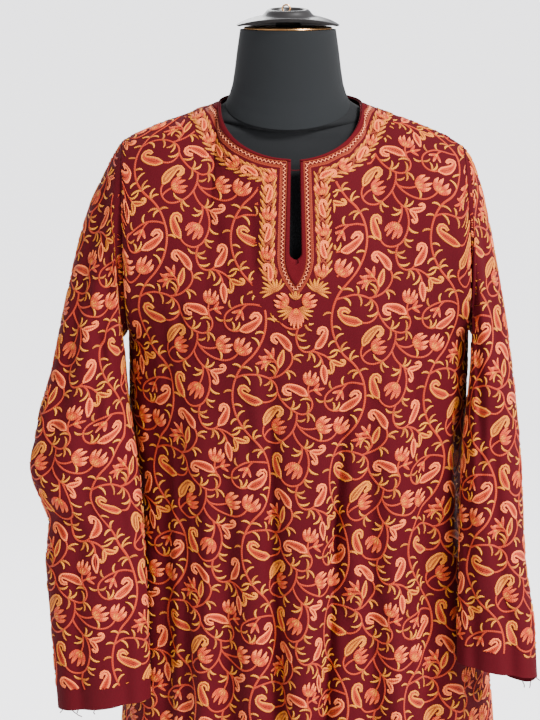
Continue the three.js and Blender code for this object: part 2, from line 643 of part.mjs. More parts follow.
// Ring of the dress form at one row of its table.
function formRing(row, x, count) {
  const power = 2 / row.square;
  return Array.from({ length: count }, (_, i) => {
    const turn = (i / count) * 2 * Math.PI;
    const [c, s] = [Math.cos(turn), Math.sin(turn)];
    const depth = s < 0 ? row.front : row.back;
    const tilt = s < 0 ? row.tiltFront : row.tiltBack;
    const y = depth * Math.sign(s) * Math.abs(s) ** power;
    return new THREE.Vector3(x + row.half * Math.sign(c) * Math.abs(c) ** power, y, row.z + tilt * y);
  });
}

function torso() {
  return bodyThrough(TORSO.map((row) => formRing(row, 0, 32)));
}

function formNeck() {
  return bodyThrough(NECK_FORM.map((row) => formRing(row, NECK_FORM_X, 28)));
}

function lathe(profile, segments) {
  const points = profile.map(([radius, height]) => new THREE.Vector2(radius, height));
  return new THREE.LatheGeometry(points, segments).rotateX(Math.PI / 2);
}

function neckPlate() {
  const { radius, thickness } = PLATE;
  const profile = [[0, 0], [radius - 1, 0], [radius, 0.8], [radius - 1, thickness], [0, thickness]];
  return lathe(profile, 28).translate(NECK_FORM_X, 0, NECK_TOP + 0.3);
}

// Cap over the neck: a shallow dome on a short stem, tilted a little forward, whose rim
// arches up in front, with a round boss that is hollowed out from above.
function neckCap() {
  const slope = Math.tan(THREE.MathUtils.degToRad(CAP_TILT));
  const ringOf = ({ radius, z }, tilted) =>
    span(0, 360, 32).slice(0, -1).map((angle) => {
      const turn = THREE.MathUtils.degToRad(angle);
      const [x, y] = [radius * Math.cos(turn), radius * Math.sin(turn)];
      const rim = (Math.abs(Math.sin(turn)) ** 1.5) * (radius / CAP_RIM.outer) ** 4;
      const lift = rim * (y < 0 ? CAP_RIM.arch : -CAP_RIM.hang);
      const lean = slope * y * (y < 0 ? 1 : 1 - smooth(CAP_RIM.boss, CAP_RIM.outer, radius));
      return new THREE.Vector3(x, y, z + lift + lean * tilted);
    });
  const under = CAP_UNDER.map((row) => ringOf(row, smooth(14, 30, row.radius))).reverse();
  const rings = [...under, ...CAP_TOP.map((row) => ringOf(row, 1))];
  return bodyThrough(rings).translate(NECK_FORM_X, 0, CAP_SEAT);
}

function capLoop() {
  const floor = CAP_SEAT + CAP_TOP.at(-1).z;
  const ring = new THREE.TorusGeometry(LOOP.radius, LOOP.wire, 8, 20).rotateX(Math.PI / 2);
  return ring.translate(NECK_FORM_X - 2, 0, floor + LOOP.radius + LOOP.wire + 0.3);
}

function stand() {
  const { pole, base, plate, hub, hubTop } = STAND;
  const baseProfile = [
    [0, 0], [base - 2, 0], [base, 2], [base - 3, 6], [base - 30, plate], [hub + 30, plate + 5],
    [hub, plate + 14], [hub - 8, hubTop], [0, hubTop],
  ];
  const poleLow = hubTop + 0.3;
  const flangeLow = TORSO[0].z - 0.3 - STAND.flangeThickness;
  const poleProfile = [
    [0, poleLow], [pole, poleLow], [pole, flangeLow - 20], [pole + 6, flangeLow - 18],
    [pole + 6, flangeLow], [STAND.flange, flangeLow], [STAND.flange, TORSO[0].z - 0.3],
    [0, TORSO[0].z - 0.3],
  ];
  return [
    mesh("stand_base", lathe(baseProfile, 40), "steel"),
    mesh("stand_pole", lathe(poleProfile, 20), "steel"),
  ];
}

const pheran = new THREE.Group();
pheran.add(
  mesh("front", frontPanel(), "cloth"),
  mesh("back", backPanel(), "cloth"),
  mesh("sleeve_left", sleeve("left"), "cloth"),
  mesh("sleeve_right", sleeve("right"), "cloth"),
  mesh("neck_facing", neckFacing(), "facing"),
  mesh("slit_facing", slitFacing(), "facing"),
  mesh("form_torso", torso(), "cover"),
  mesh("form_neck", formNeck(), "neck"),
  mesh("neck_plate", neckPlate(), "brass"),
  mesh("neck_cap", neckCap(), "plastic"),
  mesh("cap_loop", capLoop(), "brass"),
  ...stand(),
);

export default pheran;
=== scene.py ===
# A pheran, a loose long-sleeved wool tunic with chain-stitch embroidery, worn by a limbless
# dress form on a stand. Blender works in metres, +Z up, the garment's front towards -Y.
import math

import bpy
import numpy as np
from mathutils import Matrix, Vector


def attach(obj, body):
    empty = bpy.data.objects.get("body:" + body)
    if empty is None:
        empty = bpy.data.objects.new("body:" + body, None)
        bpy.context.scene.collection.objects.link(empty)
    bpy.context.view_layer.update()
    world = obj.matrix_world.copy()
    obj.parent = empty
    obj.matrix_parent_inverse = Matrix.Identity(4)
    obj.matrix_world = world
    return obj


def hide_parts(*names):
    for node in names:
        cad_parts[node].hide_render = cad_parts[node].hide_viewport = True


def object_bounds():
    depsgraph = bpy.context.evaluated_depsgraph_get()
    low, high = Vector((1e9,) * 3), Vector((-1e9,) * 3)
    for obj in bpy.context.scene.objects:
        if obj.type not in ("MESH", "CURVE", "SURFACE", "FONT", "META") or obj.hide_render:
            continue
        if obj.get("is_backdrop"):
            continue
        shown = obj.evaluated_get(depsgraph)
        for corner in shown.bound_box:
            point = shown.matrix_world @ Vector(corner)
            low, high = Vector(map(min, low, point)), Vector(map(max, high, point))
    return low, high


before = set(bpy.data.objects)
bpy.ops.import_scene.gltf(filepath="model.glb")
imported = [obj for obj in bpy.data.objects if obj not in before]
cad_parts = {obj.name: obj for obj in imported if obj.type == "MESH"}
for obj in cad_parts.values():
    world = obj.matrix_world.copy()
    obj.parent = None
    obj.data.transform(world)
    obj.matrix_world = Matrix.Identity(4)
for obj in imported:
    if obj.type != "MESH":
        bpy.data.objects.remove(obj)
cad_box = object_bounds()


# Camera. It stands in front, a little higher than the neck, and looks slightly down, so that
# the frame takes in the fittings on the neck and cuts the skirt below the cuffs.
EYE = (-0.022, -2.654, 1.600)
LOOK_AT = (-0.022, 0.0, 1.095)
LONG_SIDE = 0.036
LENS = 0.11259


def in_scene(name, data):
    """A new object in the scene, made of its data: a mesh, a light or a camera."""
    made = bpy.data.objects.new(name, data)
    bpy.context.scene.collection.objects.link(made)
    return made


camera_data = bpy.data.cameras.new("camera")
camera_data.sensor_width = LONG_SIDE * 1000
camera_data.lens = LENS * 1000
camera = in_scene("camera", camera_data)
camera.location = EYE
camera.rotation_euler = (math.pi / 2 - math.atan2(EYE[2] - LOOK_AT[2], LOOK_AT[1] - EYE[1]), 0, 0)
bpy.context.scene.camera = camera


# Stand. A turned steel plate with a hub carries a steel tube, and the tube's flange is
# screwed under the form. Both are brushed and stand plainly below the hem.
MM = 0.001
# Pieces that stand on one another keep this gap
REST_GAP = 0.3
STAND = {"pole": 16, "base": 205, "plate": 9, "hub": 38, "hub_top": 46, "flange": 60, "flange_low": 783.7}
FORM_LOW = 791.7


class Number:
    """A varying value in a finish. Arithmetic on it adds Math nodes."""

    def __init__(self, finish, socket):
        self.finish = finish
        self.socket = socket

    def math(self, operation, *others):
        return self.finish.add("ShaderNodeMath", {"operation": operation}, (self, *others))

    def __add__(self, other):
        return self.math("ADD", other)

    __radd__ = __add__

    def __mul__(self, other):
        return self.math("MULTIPLY", other)

    __rmul__ = __mul__

    def __sub__(self, other):
        return self.math("SUBTRACT", other)

    def __rsub__(self, other):
        return self.finish.add("ShaderNodeMath", {"operation": "SUBTRACT"}, (other, self))


class Finish:
    """A material made of nodes, ending in one Principled shader."""

    def __init__(self, name, **constants):
        self.material = bpy.data.materials.new(name)
        self.material.use_nodes = True
        self.tree = self.material.node_tree
        self.shader = self.tree.nodes["Principled BSDF"]
        for socket, value in constants.items():
            self.shader.inputs[socket.replace("_", " ")].default_value = value

    def add(self, kind, settings=None, inputs=(), output=0):
        node = self.tree.nodes.new(kind)
        for setting, value in (settings or {}).items():
            setattr(node, setting, value)
        pairs = inputs.items() if isinstance(inputs, dict) else enumerate(inputs)
        for socket, value in pairs:
            self.connect(node.inputs[socket], value)
        return Number(self, node.outputs[output])

    def connect(self, socket, value):
        if isinstance(value, Number):
            self.tree.links.new(value.socket, socket)
        else:
            socket.default_value = value

    def set(self, socket, value):
        self.connect(self.shader.inputs[socket], value)

    def place(self):
        return self.add("ShaderNodeTexCoord", output="Object")

    def flat_place(self):
        return self.add("ShaderNodeUVMap", {"uv_map": "flat"})

    def noise(self, place, scale, detail=2.0):
        return self.add("ShaderNodeTexNoise", {}, {"Vector": place, "Scale": scale, "Detail": detail})

    def stretched(self, place, scale):
        return self.add("ShaderNodeVectorMath", {"operation": "MULTIPLY"}, (place, scale))

    def part(self, vector, axis):
        return self.add("ShaderNodeSeparateXYZ", {}, (vector,), axis)

    def mix(self, factor, first, second, blend="MIX"):
        settings = {"data_type": "RGBA", "blend_type": blend}
        return self.add("ShaderNodeMix", settings, {0: factor, 6: first, 7: second}, 2)

    def bump(self, height, strength, distance):
        wanted = {"Height": height, "Strength": strength, "Distance": distance}
        self.set("Normal", self.add("ShaderNodeBump", {}, wanted))


def colour(red, green, blue):
    """A colour given in the photograph's own 0 to 255 steps, as linear light."""
    steps = [part / 255 for part in (red, green, blue)]
    return tuple(s / 12.92 if s <= 0.04045 else ((s + 0.055) / 1.055) ** 2.4 for s in steps) + (1.0,)


def mesh_object(name, points, faces):
    """An object in the scene made of points in millimetres and faces."""
    mesh = bpy.data.meshes.new(name)
    mesh.from_pydata((np.asarray(points, float) * MM).tolist(), [], [list(map(int, f)) for f in faces])
    return in_scene(name, mesh)


def mesh_piece(name, points, faces, finish, slot, crease=40):
    """A riding piece, smooth but for edges sharper than crease in degrees."""
    made = mesh_object(name, points, faces)
    mesh = made.data
    mesh.polygons.foreach_set("use_smooth", np.ones(len(mesh.polygons), bool))
    mesh.set_sharp_from_angle(angle=math.radians(crease))
    mesh.materials.append(finish.material)
    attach(made, "root")
    return made


def rounded(profile, radius, steps=4):
    """A profile of (radius, height) corners with each inner corner eased into an arc."""
    corners = np.asarray(profile, float)
    eased = [corners[0]]
    for before, corner, after in zip(corners, corners[1:], corners[2:]):
        ways = []
        for other in (before, after):
            length = np.linalg.norm(other - corner)
            ways.append((other - corner) / length * min(radius, length * 0.45))
        for s in np.linspace(0, 1, steps + 1):
            eased.append(corner + ways[0] * (1 - s) ** 2 + ways[1] * s**2)
    return np.array(eased + [corners[-1]])


def tube_faces(rings, around):
    """Faces of a skin through rings of points, with the end rings filled."""
    faces = []
    for i in range(rings - 1):
        for j in range(around):
            low, high = i * around, (i + 1) * around
            faces.append((low + j, low + (j + 1) % around, high + (j + 1) % around, high + j))
    faces.append(tuple(range(around - 1, -1, -1)))
    faces.append(tuple((rings - 1) * around + j for j in range(around)))
    return faces


def turned(profile, around, centre_x=0.0):
    """Points and faces of a solid turned about an upright axis; the profile starts and ends on it."""
    turns = np.linspace(0, 2 * math.pi, around, endpoint=False)
    rings = [(max(r, 0.05), z) for r, z in profile]
    points = [(centre_x + r * math.cos(a), r * math.sin(a), z) for r, z in rings for a in turns]
    return points, tube_faces(len(rings), around)


steel = Finish("brushed_steel", Metallic=1.0, Roughness=0.32, Base_Color=colour(176, 178, 182))
brushing = steel.noise(steel.stretched(steel.place(), (40, 40, 900)), 3.0, 4.0)
steel.set("Roughness", 0.24 + brushing * 0.2)
steel.bump(brushing, 0.15, 0.0002)

base_profile = rounded(
    [
        (0, 0), (STAND["base"] - 1, 0), (STAND["base"], 2), (STAND["base"] - 3, 6),
        (STAND["base"] - 30, STAND["plate"]), (STAND["hub"] + 30, STAND["plate"] + 5),
        (STAND["hub"], STAND["plate"] + 14), (STAND["hub"] - 8, STAND["hub_top"]), (0, STAND["hub_top"]),
    ],
    5,
)
stand_base = mesh_piece("round_base", *turned(base_profile, 128), steel, "steel")
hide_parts("stand_base")

pole_low = STAND["hub_top"] + REST_GAP
pole_profile = rounded(
    [
        (0, pole_low), (STAND["pole"], pole_low), (STAND["pole"], STAND["flange_low"] - 20),
        (STAND["pole"] + 6, STAND["flange_low"] - 18), (STAND["pole"] + 6, STAND["flange_low"]),
        (STAND["flange"], STAND["flange_low"]), (STAND["flange"], FORM_LOW), (0, FORM_LOW),
    ],
    1.2,
)
stand_pole = mesh_piece("pole", *turned(pole_profile, 64), steel, "steel")
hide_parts("stand_pole")


# Dress form. A padded torso with no limbs under a tight near-black jersey, and a neck block
# under charcoal cloth that sits in the torso's shoulders on a curved seam.
TORSO = {
    "z": (792, 830, 900, 980, 1060, 1150, 1215, 1270, 1310, 1338, 1352, 1367.5, 1379.7, 1389, 1401),
    "half": (146, 160, 163, 155, 146, 153, 162, 173, 181, 182, 177, 169, 141, 104, 73),
    "front": (88, 98, 99, 97, 94, 102, 104, 94, 80, 71, 65, 58, 57, 58, 63),
    "back": (80, 88, 90, 88, 86, 90, 92, 90, 80, 68, 58, 48, 45, 40, 49),
    "square": (2.2, 2.2, 2.2, 2.2, 2.2, 2.2, 2.2, 2.15, 2.05, 1.75, 1.55, 1.42, 1.4, 1.36, 2),
    "tilt_front": (0, 0, 0, 0, 0, 0, 0, 0, 0, 0, 0.02, 0.06, 0.18, 0.3, 0.4),
    "tilt_back": (0, 0, 0, 0, 0, 0, 0, 0, 0, 0, 0, 0, 0.02, 0.04, 0.38),
}
NECK_FORM = {
    "z": (1401.3, 1412, 1424, 1440, 1464, 1488),
    "half": (73, 68.5, 65, 62.5, 59.5, 56),
    "front": (63, 60, 57.5, 56, 55, 54),
    "back": (49, 50, 50, 50.5, 51, 52),
    "square": (2, 2, 2, 2, 2, 2),
    "tilt_front": (0.4, 0.35, 0.3, 0.2, 0.08, 0),
    "tilt_back": (0.4, 0.35, 0.3, 0.2, 0.08, 0),
}
NECK_FORM_X = -1
NECK_TOP = NECK_FORM["z"][-1]
# The padded cover's knit: ribs across and courses up, as angles of a sine for each metre
KNIT = (5200, 5200, 3600)


def along(keys, values, at):
    """A smooth curve through a table's values; each row's slope comes from its neighbours."""
    keys, values = np.asarray(keys, float), np.asarray(values, float)
    last = len(keys) - 1
    before, after = np.maximum(np.arange(last + 1) - 1, 0), np.minimum(np.arange(last + 1) + 1, last)
    slope = (values[after] - values[before]) / (keys[after] - keys[before])
    at = np.clip(at, keys[0], keys[-1])
    i = np.clip(np.searchsorted(keys, at) - 1, 0, last - 1)
    span = keys[i + 1] - keys[i]
    s = (at - keys[i]) / span
    rise = (values[i + 1] - values[i]) * s * s * (3 - 2 * s)
    return values[i] + rise + s * (1 - s) * span * ((1 - s) * slope[i] - s * slope[i + 1])


def form_rings(table, x, around, steps, pull=0.0):
    """The dress form through its table, each interval in steps, its surface pulled in a little."""
    keys = np.asarray(table["z"], float)
    shares = np.linspace(0, len(keys) - 1, (len(keys) - 1) * steps + 1)
    heights = np.interp(shares, np.arange(len(keys)), keys)
    turns = np.linspace(0, 2 * math.pi, around, endpoint=False)
    c, s = np.cos(turns)[None, :], np.sin(turns)[None, :]
    row = {name: np.interp(heights, keys, values)[:, None] for name, values in table.items()}
    power = 2 / row["square"]
    depth = np.where(s < 0, row["front"], row["back"]) - pull
    tilt = np.where(s < 0, row["tilt_front"], row["tilt_back"])
    y = depth * np.sign(s) * np.abs(s) ** power
    reach = (row["half"] - pull) * np.sign(c) * np.abs(c) ** power
    points = np.stack([x + reach, y, row["z"] + tilt * y], -1)
    return points.reshape(-1, 3), tube_faces(len(heights), around)


def jersey(name, main, light):
    """Fine knitted cover: close ribs with soft lint and slow changes of tone."""
    cover = Finish(name, Roughness=0.9, Specular_IOR_Level=0.15, Sheen_Weight=0.03, Sheen_Roughness=0.5)
    place = cover.place()
    drift = cover.noise(place, 9.0, 3.0)
    lint = cover.noise(place, 900.0, 2.0)
    tone = cover.mix(drift * 0.6, colour(*main), colour(*light))
    cover.set("Base Color", cover.mix(lint * 0.25, tone, colour(*[part + 12 for part in light])))
    knit = cover.stretched(place, KNIT)
    rib, course = (cover.part(knit, axis).math("SINE") for axis in (0, 2))
    cover.set("Roughness", 0.8 + lint * 0.15)
    cover.bump(rib * course + lint * 1.5, 0.5, 0.0002)
    return cover


torso_cover = jersey("torso_cover", (8, 9, 11), (13, 14, 15))
neck_cover = jersey("neck_cover", (13, 15, 16), (18, 20, 22))
torso_rings = form_rings(TORSO, 0, 128, 5, 0.8)
form_torso = mesh_piece("torso", *torso_rings, torso_cover, "form_cover", 60)
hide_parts("form_torso")
neck_rings = form_rings(NECK_FORM, NECK_FORM_X, 112, 7)
form_neck = mesh_piece("neck_block", *neck_rings, neck_cover, "neck_cover", 60)
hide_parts("form_neck")


# Neck fittings. A thin coppery plate lies on the neck block, and a glossy black cap with a
# hollow boss stands on it by a short stem, tilted a little forward. Its rim arches up in front.
PLATE = {"radius": 52, "thickness": 2.6}
CAP_SEAT = NECK_TOP + PLATE["thickness"] + 0.6
CAP_RIM = {"arch": 13, "hang": 2.5, "boss": 32, "outer": 59}
CAP_SLOPE = math.tan(math.radians(4.5))
# The cap's stem stands level, and its underside takes on the tilt between these radii
CAP_STEM_CLEAR = (14, 30)
CAP_UNDER = {"radius": (7, 14, 15, 22, 38, 49, 57.4), "z": (0, 0, 8, 9, 7.4, 4.6, 0.4)}
CAP_TOP = {
    "radius": (59, 59.6, 50, 40, 32, 28.5, 25, 22, 19.5, 16.5, 8),
    "z": (0.7, 2.6, 7.6, 10.4, 12, 14.5, 18.6, 20, 19.2, 15.2, 14.4),
}
LOOP = {"radius": 4.6, "wire": 1.1}


def smooth(start, end, at):
    """A soft step from 0 at start to 1 at end."""
    s = np.clip((at - start) / (end - start), 0, 1)
    return s * s * (3 - 2 * s)


def eased(table, steps):
    """Corner points of a profile, with a smooth curve through them."""
    keys = np.arange(len(table["radius"]))
    at = np.linspace(0, keys[-1], keys[-1] * steps + 1)
    return list(zip(along(keys, table["radius"], at), along(keys, table["z"], at)))


copper = Finish("coppery_plate", Metallic=1.0, Roughness=0.25, Base_Color=colour(214, 160, 104))
copper_wear = copper.noise(copper.place(), 90.0, 4.0)
copper.set("Base Color", copper.mix(copper_wear, colour(224, 176, 118), colour(176, 118, 70)))
copper.set("Roughness", 0.16 + copper_wear * 0.25)

black = Finish("glossy_black", Roughness=0.2, Specular_IOR_Level=0.25, Coat_Roughness=0.2)
black_wear = black.noise(black.place(), 60.0, 5.0)
facing_up = black.part(black.add("ShaderNodeNewGeometry", output="Normal"), 2) * 6.0 + 0.8
facing_up = facing_up.math("MAXIMUM", 0.0).math("MINIMUM", 1.0)
black.set("Base Color", black.mix(black_wear, colour(16, 15, 16), colour(30, 27, 26)))
black.set("Roughness", 0.9 - facing_up * 0.55 + black_wear * 0.1)
black.set("Coat Weight", facing_up * 0.25)
black.bump(black.noise(black.place(), 700.0), 0.05, 0.0002)

plate_low = NECK_TOP + REST_GAP
plate_profile = rounded(
    [
        (0, plate_low), (PLATE["radius"] - 1, plate_low), (PLATE["radius"], plate_low + 0.8),
        (PLATE["radius"] - 1, plate_low + PLATE["thickness"]), (0, plate_low + PLATE["thickness"]),
    ],
    0.5,
)
neck_plate = mesh_piece("plate", *turned(plate_profile, 96, NECK_FORM_X), copper, "brass")
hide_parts("neck_plate")

cap_turns = np.linspace(0, 2 * math.pi, 112, endpoint=False)
cap_under, cap_top = eased(CAP_UNDER, 3), eased(CAP_TOP, 4)
cap_profile = cap_under + cap_top
cap_points = []
for ring, (radius, z) in enumerate(cap_profile):
    tilted = 1 if ring >= len(cap_under) else smooth(*CAP_STEM_CLEAR, radius)
    for turn in cap_turns:
        x, y = radius * math.cos(turn), radius * math.sin(turn)
        rim = abs(math.sin(turn)) ** 1.5 * (radius / CAP_RIM["outer"]) ** 4
        lift = rim * (CAP_RIM["arch"] if y < 0 else -CAP_RIM["hang"])
        lean = CAP_SLOPE * y * (1 if y < 0 else 1 - smooth(CAP_RIM["boss"], CAP_RIM["outer"], radius))
        cap_points.append((NECK_FORM_X + x, y, CAP_SEAT + z + lift + lean * tilted))
cap_faces = tube_faces(len(cap_profile), len(cap_turns))
neck_cap = mesh_piece("cap", cap_points, cap_faces, black, "black_plastic", 50)
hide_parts("neck_cap")

loop_points = []
loop_rings, loop_sides = 48, 12
loop_middle = CAP_SEAT + CAP_TOP["z"][-1] + LOOP["radius"] + LOOP["wire"] + REST_GAP
for ring in np.linspace(0, 2 * math.pi, loop_rings, endpoint=False):
    for side in np.linspace(0, 2 * math.pi, loop_sides, endpoint=False):
        reach = LOOP["radius"] + LOOP["wire"] * math.cos(side)
        x = NECK_FORM_X - 2 + reach * math.cos(ring)
        loop_points.append((x, LOOP["wire"] * math.sin(side), loop_middle + reach * math.sin(ring)))
loop_faces = [
    tuple(
        ((i + a) % loop_rings) * loop_sides + (j + b) % loop_sides
        for a, b in ((0, 0), (1, 0), (1, 1), (0, 1))
    )
    for i in range(loop_rings)
    for j in range(loop_sides)
]
cap_loop = mesh_piece("loop", loop_points, loop_faces, copper, "brass")
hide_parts("cap_loop")


# Front and back of the tunic. Each is one panel of fine maroon wool, sewn to the other at
# the shoulders and sides, its neckline cut out; the front is slit down from the neckline.
WALL = 1.6
# Threads of the weave in a metre of cloth
WOOL_THREADS = 1500.0
SEAM_GAP = 0.4
HEM = 280
UNDERARM = 1135
NECK_MID = 2
NECK_HALF = 83
NECK_SHARE = 0.42
NECK = {-1: {"drop": 58, "y": -86, "bend": 1.67}, 1: {"drop": -10, "y": 66, "bend": 1.25}}
SLIT = {"x": 7, "top": 1338, "end": 1234, "top_half": 5.1, "low_half": 6.9}
# Below its end the slit's two columns of points stay this far from its middle line
SLIT_FLAT = 1.7
# Columns of the front on each side: along the shoulder seam, and from there to the slit
FRONT_COLUMNS = {"shoulder": 54, "neck": 32}
# Rows up to the underarm and from there to the top edge, which crowd a little towards it in front
FRONT_ROWS = {"low": 118, "high": 78, "crowding": 1.15}
BACK_ROWS = {"low": 104, "high": 52}
BACK_COLUMNS = {"shoulder": 40, "neck": 50}
BODY = {
    "z": (280, 480, 690, 850, 950, 1050, 1100, 1135),
    "left": (-226, -214, -202, -192, -187, -190, -190, -190),
    "right": (270, 262, 249, 223, 213, 213, 214, 214),
    -1: (-146, -140, -133, -128, -125, -123, -122, -121),
    1: (138, 132, 126, 120, 116, 113, 110, 108),
}
BODY_SQUARENESS = 2.33
SHOULDER = {"x": (60, 84, 120, 160, 187, 208), "z": (1410, 1402, 1390, 1375.5, 1363, 1350)}
TIP = {-1: -196, 1: 206}
YOKE = {
    -1: {
        "u": (0, 0.2, 0.33, 0.42, 0.75, 1),
        "low_y": (-8, -8, -8, -8, -40, -96),
        "low_z": (60, 72, 86, 95, 85, 6),
        "high_y": (-26, -32, -48, -62, -84, -90),
        "high_z": (-62, -54, -36, -18, -14, -14),
    },
    1: {
        "u": (0, 0.42, 0.75, 1),
        "low_y": (6, 6, 40, 96),
        "low_z": (85, 100, 90, 6),
        "high_y": (26, 60, 84, 90),
        "high_z": (-36, 6, -14, -14),
    },
}
# Hanging folds: height where each starts, its x there and at the hem, depth (negative
# stands proud), half width, and how far its edge leans over
FOLDS = {
    -1: (
        (1165, -146, -150, 11, 9, 0),
        (1140, -130, -112, 9, 8, 0),
        (1215, -104, -94, -5, 14, 0),
        (1050, -75, -69, 15, 15, 0),
        (1300, -44, -42, -5, 15, 0),
        (1190, -26, -7, 17, 11, 5),
        (1010, 16, 18, -9, 20, 0),
        (1180, 73, 26, 21, 12, -7),
        (1190, 92, 110, 13, 11, 0),
        (1080, 130, 142, -8, 18, 0),
        (1120, 160, 180, 13, 12, 0),
        (1200, 184, 214, -5, 12, 0),
    ),
    1: (
        (1160, -140, -160, 13, 13, 0),
        (1080, -96, -104, -7, 18, 0),
        (1240, -58, -62, 17, 14, 0),
        (1120, -10, -4, 12, 13, 0),
        (1060, 28, 34, -8, 20, 0),
        (1250, 66, 82, 18, 14, 0),
        (1090, 118, 136, -6, 18, 0),
        (1160, 156, 192, 14, 13, 0),
    ),
}
FOLD_RUN = 260
# Below the chest the cloth hangs free: from this height down its creases deepen by this share
CREASE_START = 1160
CREASE_RUN = 220
CREASE_GROWTH = 1.5
# Soft creases: from (x, z) to (x, z), depth (negative stands proud) and half width
CREASES = {
    -1: (
        (-44, 1312, -40, 1188, 3.2, 7),
        (-92, 1290, -62, 1176, 2.4, 9),
        (-128, 1196, -122, 1108, 3.4, 6),
        (-150, 1182, -138, 1060, 3.0, 6),
        (-164, 1130, -160, 960, 3.2, 8),
        (-110, 1010, -104, 742, 2.6, 9),
        (-52, 1120, -40, 820, 2.2, 8),
        (-10, 830, -4, 560, 2.6, 8),
        (44, 1290, 62, 1196, 2.6, 8),
        (78, 1258, 96, 1150, 2.2, 8),
        (112, 1230, 128, 1066, 2.6, 10),
        (140, 1190, 152, 1010, 2.8, 8),
        (58, 960, 84, 700, 2.4, 9),
        (128, 940, 150, 560, 3.0, 10),
        (196, 1080, 214, 820, 3.0, 9),
        (30, 700, 60, 330, 3.0, 11),
        (-120, 680, -140, 330, 3.2, 12),
    ),
    1: (
        (-30, 1330, -48, 1180, 2.6, 9),
        (40, 1330, 60, 1200, 2.8, 9),
        (-110, 1300, -124, 1120, 2.6, 10),
        (112, 1290, 132, 1090, 2.8, 10),
        (-150, 1110, -164, 820, 3.0, 8),
        (-34, 1000, -28, 640, 2.8, 9),
        (54, 960, 60, 520, 2.6, 10),
        (160, 1040, 184, 700, 3.0, 9),
        (-84, 860, -88, 420, 2.8, 11),
        (108, 820, 118, 380, 2.8, 11),
        (6, 620, 12, 320, 2.8, 10),
    ),
}


def across(u):
    """Share of the half width that column u of a panel has reached."""
    return 0.65 * np.sin(u * math.pi / 2) + 0.35 * u


def section(face, u, z):
    """The body's outline at one height, without folds; face is -1 in front and 1 behind."""
    left, right = along(BODY["z"], BODY["left"], z), along(BODY["z"], BODY["right"], z)
    share = np.minimum(np.abs(across(u)), 1)
    x = (left + right) / 2 + across(u) * (right - left) / 2
    y = along(BODY["z"], BODY[face], z) * (1 - share**BODY_SQUARENESS) ** (1 / BODY_SQUARENESS)
    return np.stack([x, y, z + 0 * x], -1)


def shoulder_height(x):
    return along(SHOULDER["x"], SHOULDER["z"], np.abs(x))


def top_edge(face, u):
    """Top edge of a panel: the neckline in the middle, the shoulder seam on both sides."""
    sign = np.where(u < 0, -1, 1)
    neck_x = NECK_MID + sign * NECK_HALF
    forward = np.cos(np.minimum(np.abs(u) / NECK_SHARE, 1) * math.pi / 2)
    low = np.maximum(forward, 0) ** NECK[face]["bend"]
    in_neck = np.stack(
        [
            NECK_MID + sign * NECK_HALF * np.sqrt(np.maximum(1 - low * low, 0)),
            NECK[face]["y"] * forward,
            shoulder_height(neck_x) - NECK[face]["drop"] * low,
        ],
        -1,
    )
    share = (np.abs(u) - NECK_SHARE) / (1 - NECK_SHARE)
    seam_x = neck_x + (np.where(u < 0, TIP[-1], TIP[1]) - neck_x) * share
    on_seam = np.stack([seam_x, 0 * seam_x, shoulder_height(seam_x)], -1)
    return np.where((np.abs(u) <= NECK_SHARE)[..., None], in_neck, on_seam)


def creased(creases, x, z):
    """Depth of the soft creases at a place; each fades out at both its ends."""
    depth = 0 * x
    for x0, z0, x1, z1, deep, width in creases:
        length = math.hypot(x1 - x0, z1 - z0)
        way_x, way_z = (x1 - x0) / length, (z1 - z0) / length
        share = ((x - x0) * way_x + (z - z0) * way_z) / length
        off = (x - x0) * way_z - (z - z0) * way_x
        fade = smooth(0, 0.3, share) * (1 - smooth(0.65, 1, share))
        depth = depth + deep * fade * np.exp(-((off / width) ** 2))
    return depth


def ripple(x, z):
    """Slight unevenness of hanging wool, in waves that run mostly up and down."""
    return 0.45 * np.sin(x / 9.3 + 1.7 * np.sin(z / 71)) * np.sin(z / 57 + x / 40) + 0.5 * np.sin(
        x / 17.1 + z / 190 + 1.1
    )


def folded(face, x, z):
    """Displacement of the cloth by its folds and creases: inwards, and sideways."""
    deepened = 1 + CREASE_GROWTH * smooth(0, CREASE_RUN, CREASE_START - z)
    inward = creased(CREASES[face], x, z) * deepened + ripple(x + 31 * face, z)
    sideways = 0 * x
    for start, x_start, x_hem, depth, width, lean in FOLDS[face]:
        fallen = np.maximum((start - z) / (start - HEM), 0)
        grown = smooth(0, FOLD_RUN, start - z)
        d = (x - x_start - (x_hem - x_start) * fallen) / (width * (1 + 0.5 * fallen))
        size = grown * (0.75 + 0.55 * fallen)
        inward = inward + size * depth * np.exp(-d * d)
        sideways = sideways + size * lean * np.exp(-((d - np.sign(-lean)) ** 2))
    return inward, sideways


